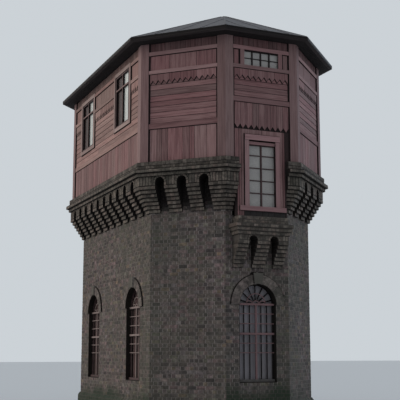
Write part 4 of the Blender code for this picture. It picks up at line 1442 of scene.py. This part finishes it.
def small_window(face):
    """Bars and panes of the low window between the rails."""
    low, high = RAIL_LOW[1] - 0.004, RAIL_HIGH[0] - 0.012
    back = BOARD_OUT - 0.030
    glaze(face, "small_panes_" + face, [(-SMALL_PANE, SMALL_PANE, low, high)], "pane_grey", back)
    bm = bmesh.new()
    for x in SMALL_MUNTINS:
        bar(bm, (x - 0.016, x + 0.016), (low, high), (back, back + 0.028))
    level = (low + high) / 2
    bar(bm, (-0.46, 0.46), (level - 0.009, level + 0.009), (back, back + 0.020))
    dress(bm, "small_muntins_" + face, face, "dark_muntin", ["small_window_" + face])


for face in SIDES:
    side_windows(face)
for face in ENDS:
    tall_window(face)
    small_window(face)


# %% [markdown]
# ## Arched windows
#
# The lower windows are tall sashes with thin level muntins and three small petals in the
# fanlight. Behind the sash stands a row of round iron bars against thieves, and in the fanlight
# they fan out like spokes. The bars of the ends are stout and black. Those of the long faces
# are thin and rusty, or they would hide the panes from anyone who looks along the wall.

# %% Arched windows
REVEAL = 0.08
MUNTIN_LEVELS = (2.546, 2.320, 1.872, 1.657)
TRANSOM_LEVELS = (2.765, 2.089)
FAN = (0.245, 0.020)
PETAL = (0.080, 0.018)
PETAL_MIDDLES = (-0.165, 0.0, 0.165)
BAR_SPACING = 0.148
BAR_OUT = -0.130
SPOKE_START = 0.09
END_IRON = (0.015, "window_iron", "window_iron")
SIDE_IRON = (0.006, "rusty_iron", "sash_brown")


def add_rod(bm, start, stop, radius):
    """A round bar between two points in a wall's own axes."""
    line = stop - start
    matrix = Matrix.Translation((start + stop) / 2) @ line.to_track_quat("Z", "Y").to_matrix().to_4x4()
    bmesh.ops.create_cone(bm, cap_ends=True, segments=8, radius1=radius, radius2=radius, depth=line.length,
                          matrix=matrix)


def add_arc(bm, middle, spring, radius, thick, out, steps=16):
    """A half-round bar."""
    spin_bar(bm, Vector((middle, spring, 0.0)), (radius - thick / 2, radius + thick / 2), out,
             (0.0, math.pi), steps)


def window_sash(face, middle, half, ending):
    """Mullion, transoms, thin muntins and the petals of the fanlight."""
    back, front = -REVEAL - 0.034, -REVEAL
    along = (middle - half + 0.008, middle + half - 0.008)
    bm = bmesh.new()
    bar(bm, (middle - 0.022, middle + 0.022), (ARCH_SILL + 0.05, ARCH_SPRING), (back, front))
    for level in TRANSOM_LEVELS:
        bar(bm, along, (level - 0.024, level + 0.024), (back, front + 0.004))
    for level in MUNTIN_LEVELS:
        bar(bm, along, (level - 0.010, level + 0.010), (back + 0.01, front - 0.006), 0.002)
    thin = (back + 0.012, front - 0.006)
    add_arc(bm, middle, ARCH_SPRING + 0.01, *FAN, thin)
    for shift in PETAL_MIDDLES:
        add_arc(bm, middle + shift, ARCH_SPRING + 0.01, *PETAL, thin, 10)
    paint = "sash_paint" if face in ENDS else "side_sash_paint"
    dress(bm, "sash_" + ending, face, paint, ["arched_window_" + ending], 0.3)
    bm = bmesh.new()
    bar(bm, along, (ARCH_SILL + 0.004, ARCH_SILL + 0.062), (back, front + 0.012))
    dress(bm, "sash_foot_" + ending, face, "sill_grey" if face in ENDS else "sash_brown")


def window_bars(face, middle, half, ending):
    """Iron bars behind the sash, upright below and fanned out in the arch."""
    radius, rod, rim = END_IRON if face in ENDS else SIDE_IRON
    bm = bmesh.new()
    for index in range(-3, 4):
        x = middle + index * BAR_SPACING
        add_rod(bm, Vector((x, ARCH_SILL, BAR_OUT)), Vector((x, ARCH_SPRING, BAR_OUT)), radius)
    start = Vector((middle, ARCH_SPRING, BAR_OUT))
    for turn in range(15, 180, 25):
        ray = Vector((math.cos(math.radians(turn)), math.sin(math.radians(turn)), 0.0))
        add_rod(bm, start + ray * SPOKE_START, start + ray * half, radius)
    dress(bm, "iron_bars_" + ending, face, rod, (), 0.0)
    bm = bmesh.new()
    depth = (BAR_OUT - 0.02, BAR_OUT + 0.02)
    add_arc(bm, middle, ARCH_SPRING, half - 0.015, 0.028, depth, 20)
    for stile in both_sides(middle, half - 0.030, half - 0.002):
        add_block(bm, stile, (ARCH_SILL, ARCH_SPRING), depth)
    dress(bm, "iron_frame_" + ending, face, rim, (), 0.0)


for face in FACES:
    for middle, half, ending in arched_openings(face):
        window_sash(face, middle, half, ending)
        window_bars(face, middle, half, ending)
        # Painted light: the ends' arched panes lighter as lit, the long faces' darker as in shade.
        coat("lower_glass_" + ending, "pane_dim" if face in ENDS else "pane_red")


# %% [markdown]
# ## Eaves and roof
#
# The eaves are boxed with dark boards that run level round the house and meet in mitres. A bar
# with a mitred end is a profile extruded along the wall, with its corners placed on the mitre
# line at their own distance out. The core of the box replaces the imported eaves, because the real
# soffit is nearly level. The roof is grey sheet with raised seams up the slopes.

# %% Eaves
EAVE_OUT = 0.67
EAVE_TOP = 9.165
SOFFIT_EDGE = 9.075
ROOF_THICK = 0.06
EAVE_EDGE = EAVE_TOP - ROOF_THICK
SOFFIT_THICK = 0.012


def add_mitred_bar(bm, face, profile):
    """A bar with an (out, up) profile whose ends meet its neighbours' in a mitre."""
    corners = [bm.verts.new((-corner_at(face, out), up, out)) for out, up in profile]
    grown = bmesh.ops.extrude_face_region(bm, geom=[bm.faces.new(corners)], use_keep_orig=True)["geom"]
    far = [item for item in grown if isinstance(item, bmesh.types.BMVert)]
    for vert in far:
        vert.co.x = -vert.co.x
    return corners + far


def eave_box():
    """Boxed core of the eaves between the soffit boards and the roof."""
    inner, edge = BOARD_OUT + 0.002, EAVE_OUT - 0.016
    section = [(inner, SOFFIT_FOOT + 0.010), (edge, SOFFIT_EDGE + 0.002), (edge, EAVE_EDGE - 0.004),
               (inner, EAVE_TOP + 0.055)]
    bm = bmesh.new()
    for face in FACES:
        part = add_mitred_bar(bm, face, section)
        bmesh.ops.recalc_face_normals(bm, faces=bm.faces)
        bmesh.ops.transform(bm, matrix=wall_matrix(face), verts=part)
    add_piece(bm, "eave_box", "eave_boards", ["eaves"])


def soffit_boards(face):
    """Four level boards under the eaves, the inner three near-black as painted shade and the outer one
    painted browner as lit, and a fascia on their edge.
    """
    start, stop = Vector((POST_OUT, SOFFIT_FOOT + 0.006)), Vector((EAVE_OUT - 0.012, SOFFIT_EDGE - 0.004))
    normal = Vector((stop.y - start.y, start.x - stop.x)).normalized() * SOFFIT_THICK
    for name, steps, material in (("soffit_", (0, 1, 2), "eave_boards"),
                                  ("soffit_edge_", (3,), "soffit_edge_boards")):
        bm = bmesh.new()
        for index in steps:
            a = start.lerp(stop, index / 4 + 0.006)
            b = start.lerp(stop, (index + 1) / 4 - 0.006)
            add_mitred_bar(bm, face, [a, b, b + normal, a + normal])
        to_wall(bm, name + face, face, material)
    bm = bmesh.new()
    inner, outer = EAVE_OUT - 0.014, EAVE_OUT - 0.002
    add_mitred_bar(bm, face, oblong(inner, outer, SOFFIT_EDGE - 0.012, EAVE_EDGE - 0.002))
    to_wall(bm, "fascia_" + face, face, "eave_boards")


eave_box()
for face in FACES:
    soffit_boards(face)
print("eaves stand out", EAVE_OUT, "m")

# %% Roof sheet and its seams
RIDGE_HALF = 2.40
SEAM_SPACING = 0.58
SEAM = (0.020, 0.014)
SHEET_DROP = 0.014
ridge_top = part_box("roof")[1].z - SHEET_DROP


def eave_corner(index):
    """World place of the roof corner between a face and the next one."""
    face = FACES[index % 8]
    return wall_matrix(face) @ Vector((corner_at(face, EAVE_OUT), EAVE_TOP - SHEET_DROP, EAVE_OUT))


def slope_corners(index):
    """Corners of one roof slope, the eave first."""
    face = FACES[index]
    south, north = (Vector((0.0, side * RIDGE_HALF, ridge_top)) for side in (-1, 1))
    ridge = {"east": [north, south], "west": [south, north]}.get(face, [south if "south" in face else north])
    return [eave_corner(index - 1), eave_corner(index)] + ridge


def roof_deck():
    """One closed skin of eight slopes, its edge and underside painted black as shade."""
    bm = bmesh.new()
    for index in range(8):
        bm.faces.new([bm.verts.new(corner) for corner in slope_corners(index)])
    bmesh.ops.remove_doubles(bm, verts=bm.verts, dist=0.0001)
    grown = bmesh.ops.extrude_face_region(bm, geom=bm.faces[:], use_keep_orig=True)["geom"]
    below = [item for item in grown if isinstance(item, bmesh.types.BMVert)]
    bmesh.ops.translate(bm, verts=below, vec=(0.0, 0.0, SHEET_DROP - ROOF_THICK))
    bmesh.ops.recalc_face_normals(bm, faces=bm.faces)
    # Painted shade: the edge and underside of the roof skin are blackened.
    soot = face_layer(bm, "soot")
    for face in bm.faces:
        face[soot] = 1.0 if face.normal.z < 0.5 else 0.0
    add_piece(bm, "roof_deck", "roof_sheet", ["roof"])


def seam_lines(index):
    """Lines up one slope at even spacing, and its left hip."""
    corners = slope_corners(index)
    tangent = (corners[1] - corners[0]).normalized()
    middle = (corners[0] + corners[1]) / 2
    sheet = bmesh.new()
    sheet.faces.new([sheet.verts.new(corner) for corner in corners])
    lines = [[corners[0], corners[-1]]]
    count = int((corners[1] - corners[0]).length / 2 / SEAM_SPACING)
    for step in range(-count, count + 1):
        cut = bmesh.ops.bisect_plane(sheet, geom=with_rims(sheet.faces[:]),
                                     plane_co=middle + tangent * SEAM_SPACING * step, plane_no=tangent)
        lines += [[end.co.copy() for end in item.verts] for item in cut["geom_cut"]
                  if isinstance(item, bmesh.types.BMEdge)]
    sheet.free()
    normal = (corners[1] - corners[0]).cross(corners[2] - corners[0]).normalized()
    return lines, normal if normal.z > 0.0 else -normal


def roof_seams():
    """Low raised seams on every slope."""
    bm = bmesh.new()
    for index in range(8):
        lines, normal = seam_lines(index)
        for line in lines:
            start, stop = sorted(line, key=lambda end: end.z)
            run = (stop - start).normalized()
            if (stop - start).length < 0.4:
                continue
            start, stop = start + run * 0.03, stop - run * 0.10
            matrix = Matrix((run.cross(normal).normalized(), run, normal)).transposed().to_4x4()
            matrix.translation = (start + stop) / 2 + normal * 0.003
            rib = bmesh.ops.create_cube(bm, size=1.0)["verts"]
            bmesh.ops.scale(bm, vec=(SEAM[0], (stop - start).length, SEAM[1]), verts=rib)
            bmesh.ops.transform(bm, matrix=matrix, verts=rib)
    add_piece(bm, "roof_seams", "roof_sheet")


roof_deck()
roof_seams()
print("ridge at", round(ridge_top, 3))

# %% [markdown]
# ## Floors and the ground
#
# The two floors inside get their plain finishes. The ground is a wide pale plane that isn't
# part of the tower.

# %% Floors and ground
coat("ground_floor", "ground_slab")
coat("tank_floor", "floor_planks")

bm = bmesh.new()
bmesh.ops.create_grid(bm, x_segments=1, y_segments=1, size=150.0)
tree, sockets = new_material("pale_floor")
sockets["Base Color"].default_value = (0.42, 0.44, 0.46, 1.0)
sockets["Roughness"].default_value = 0.9
floor = add_object("pale_floor", new_mesh(bm, "pale_floor", "pale_floor"))
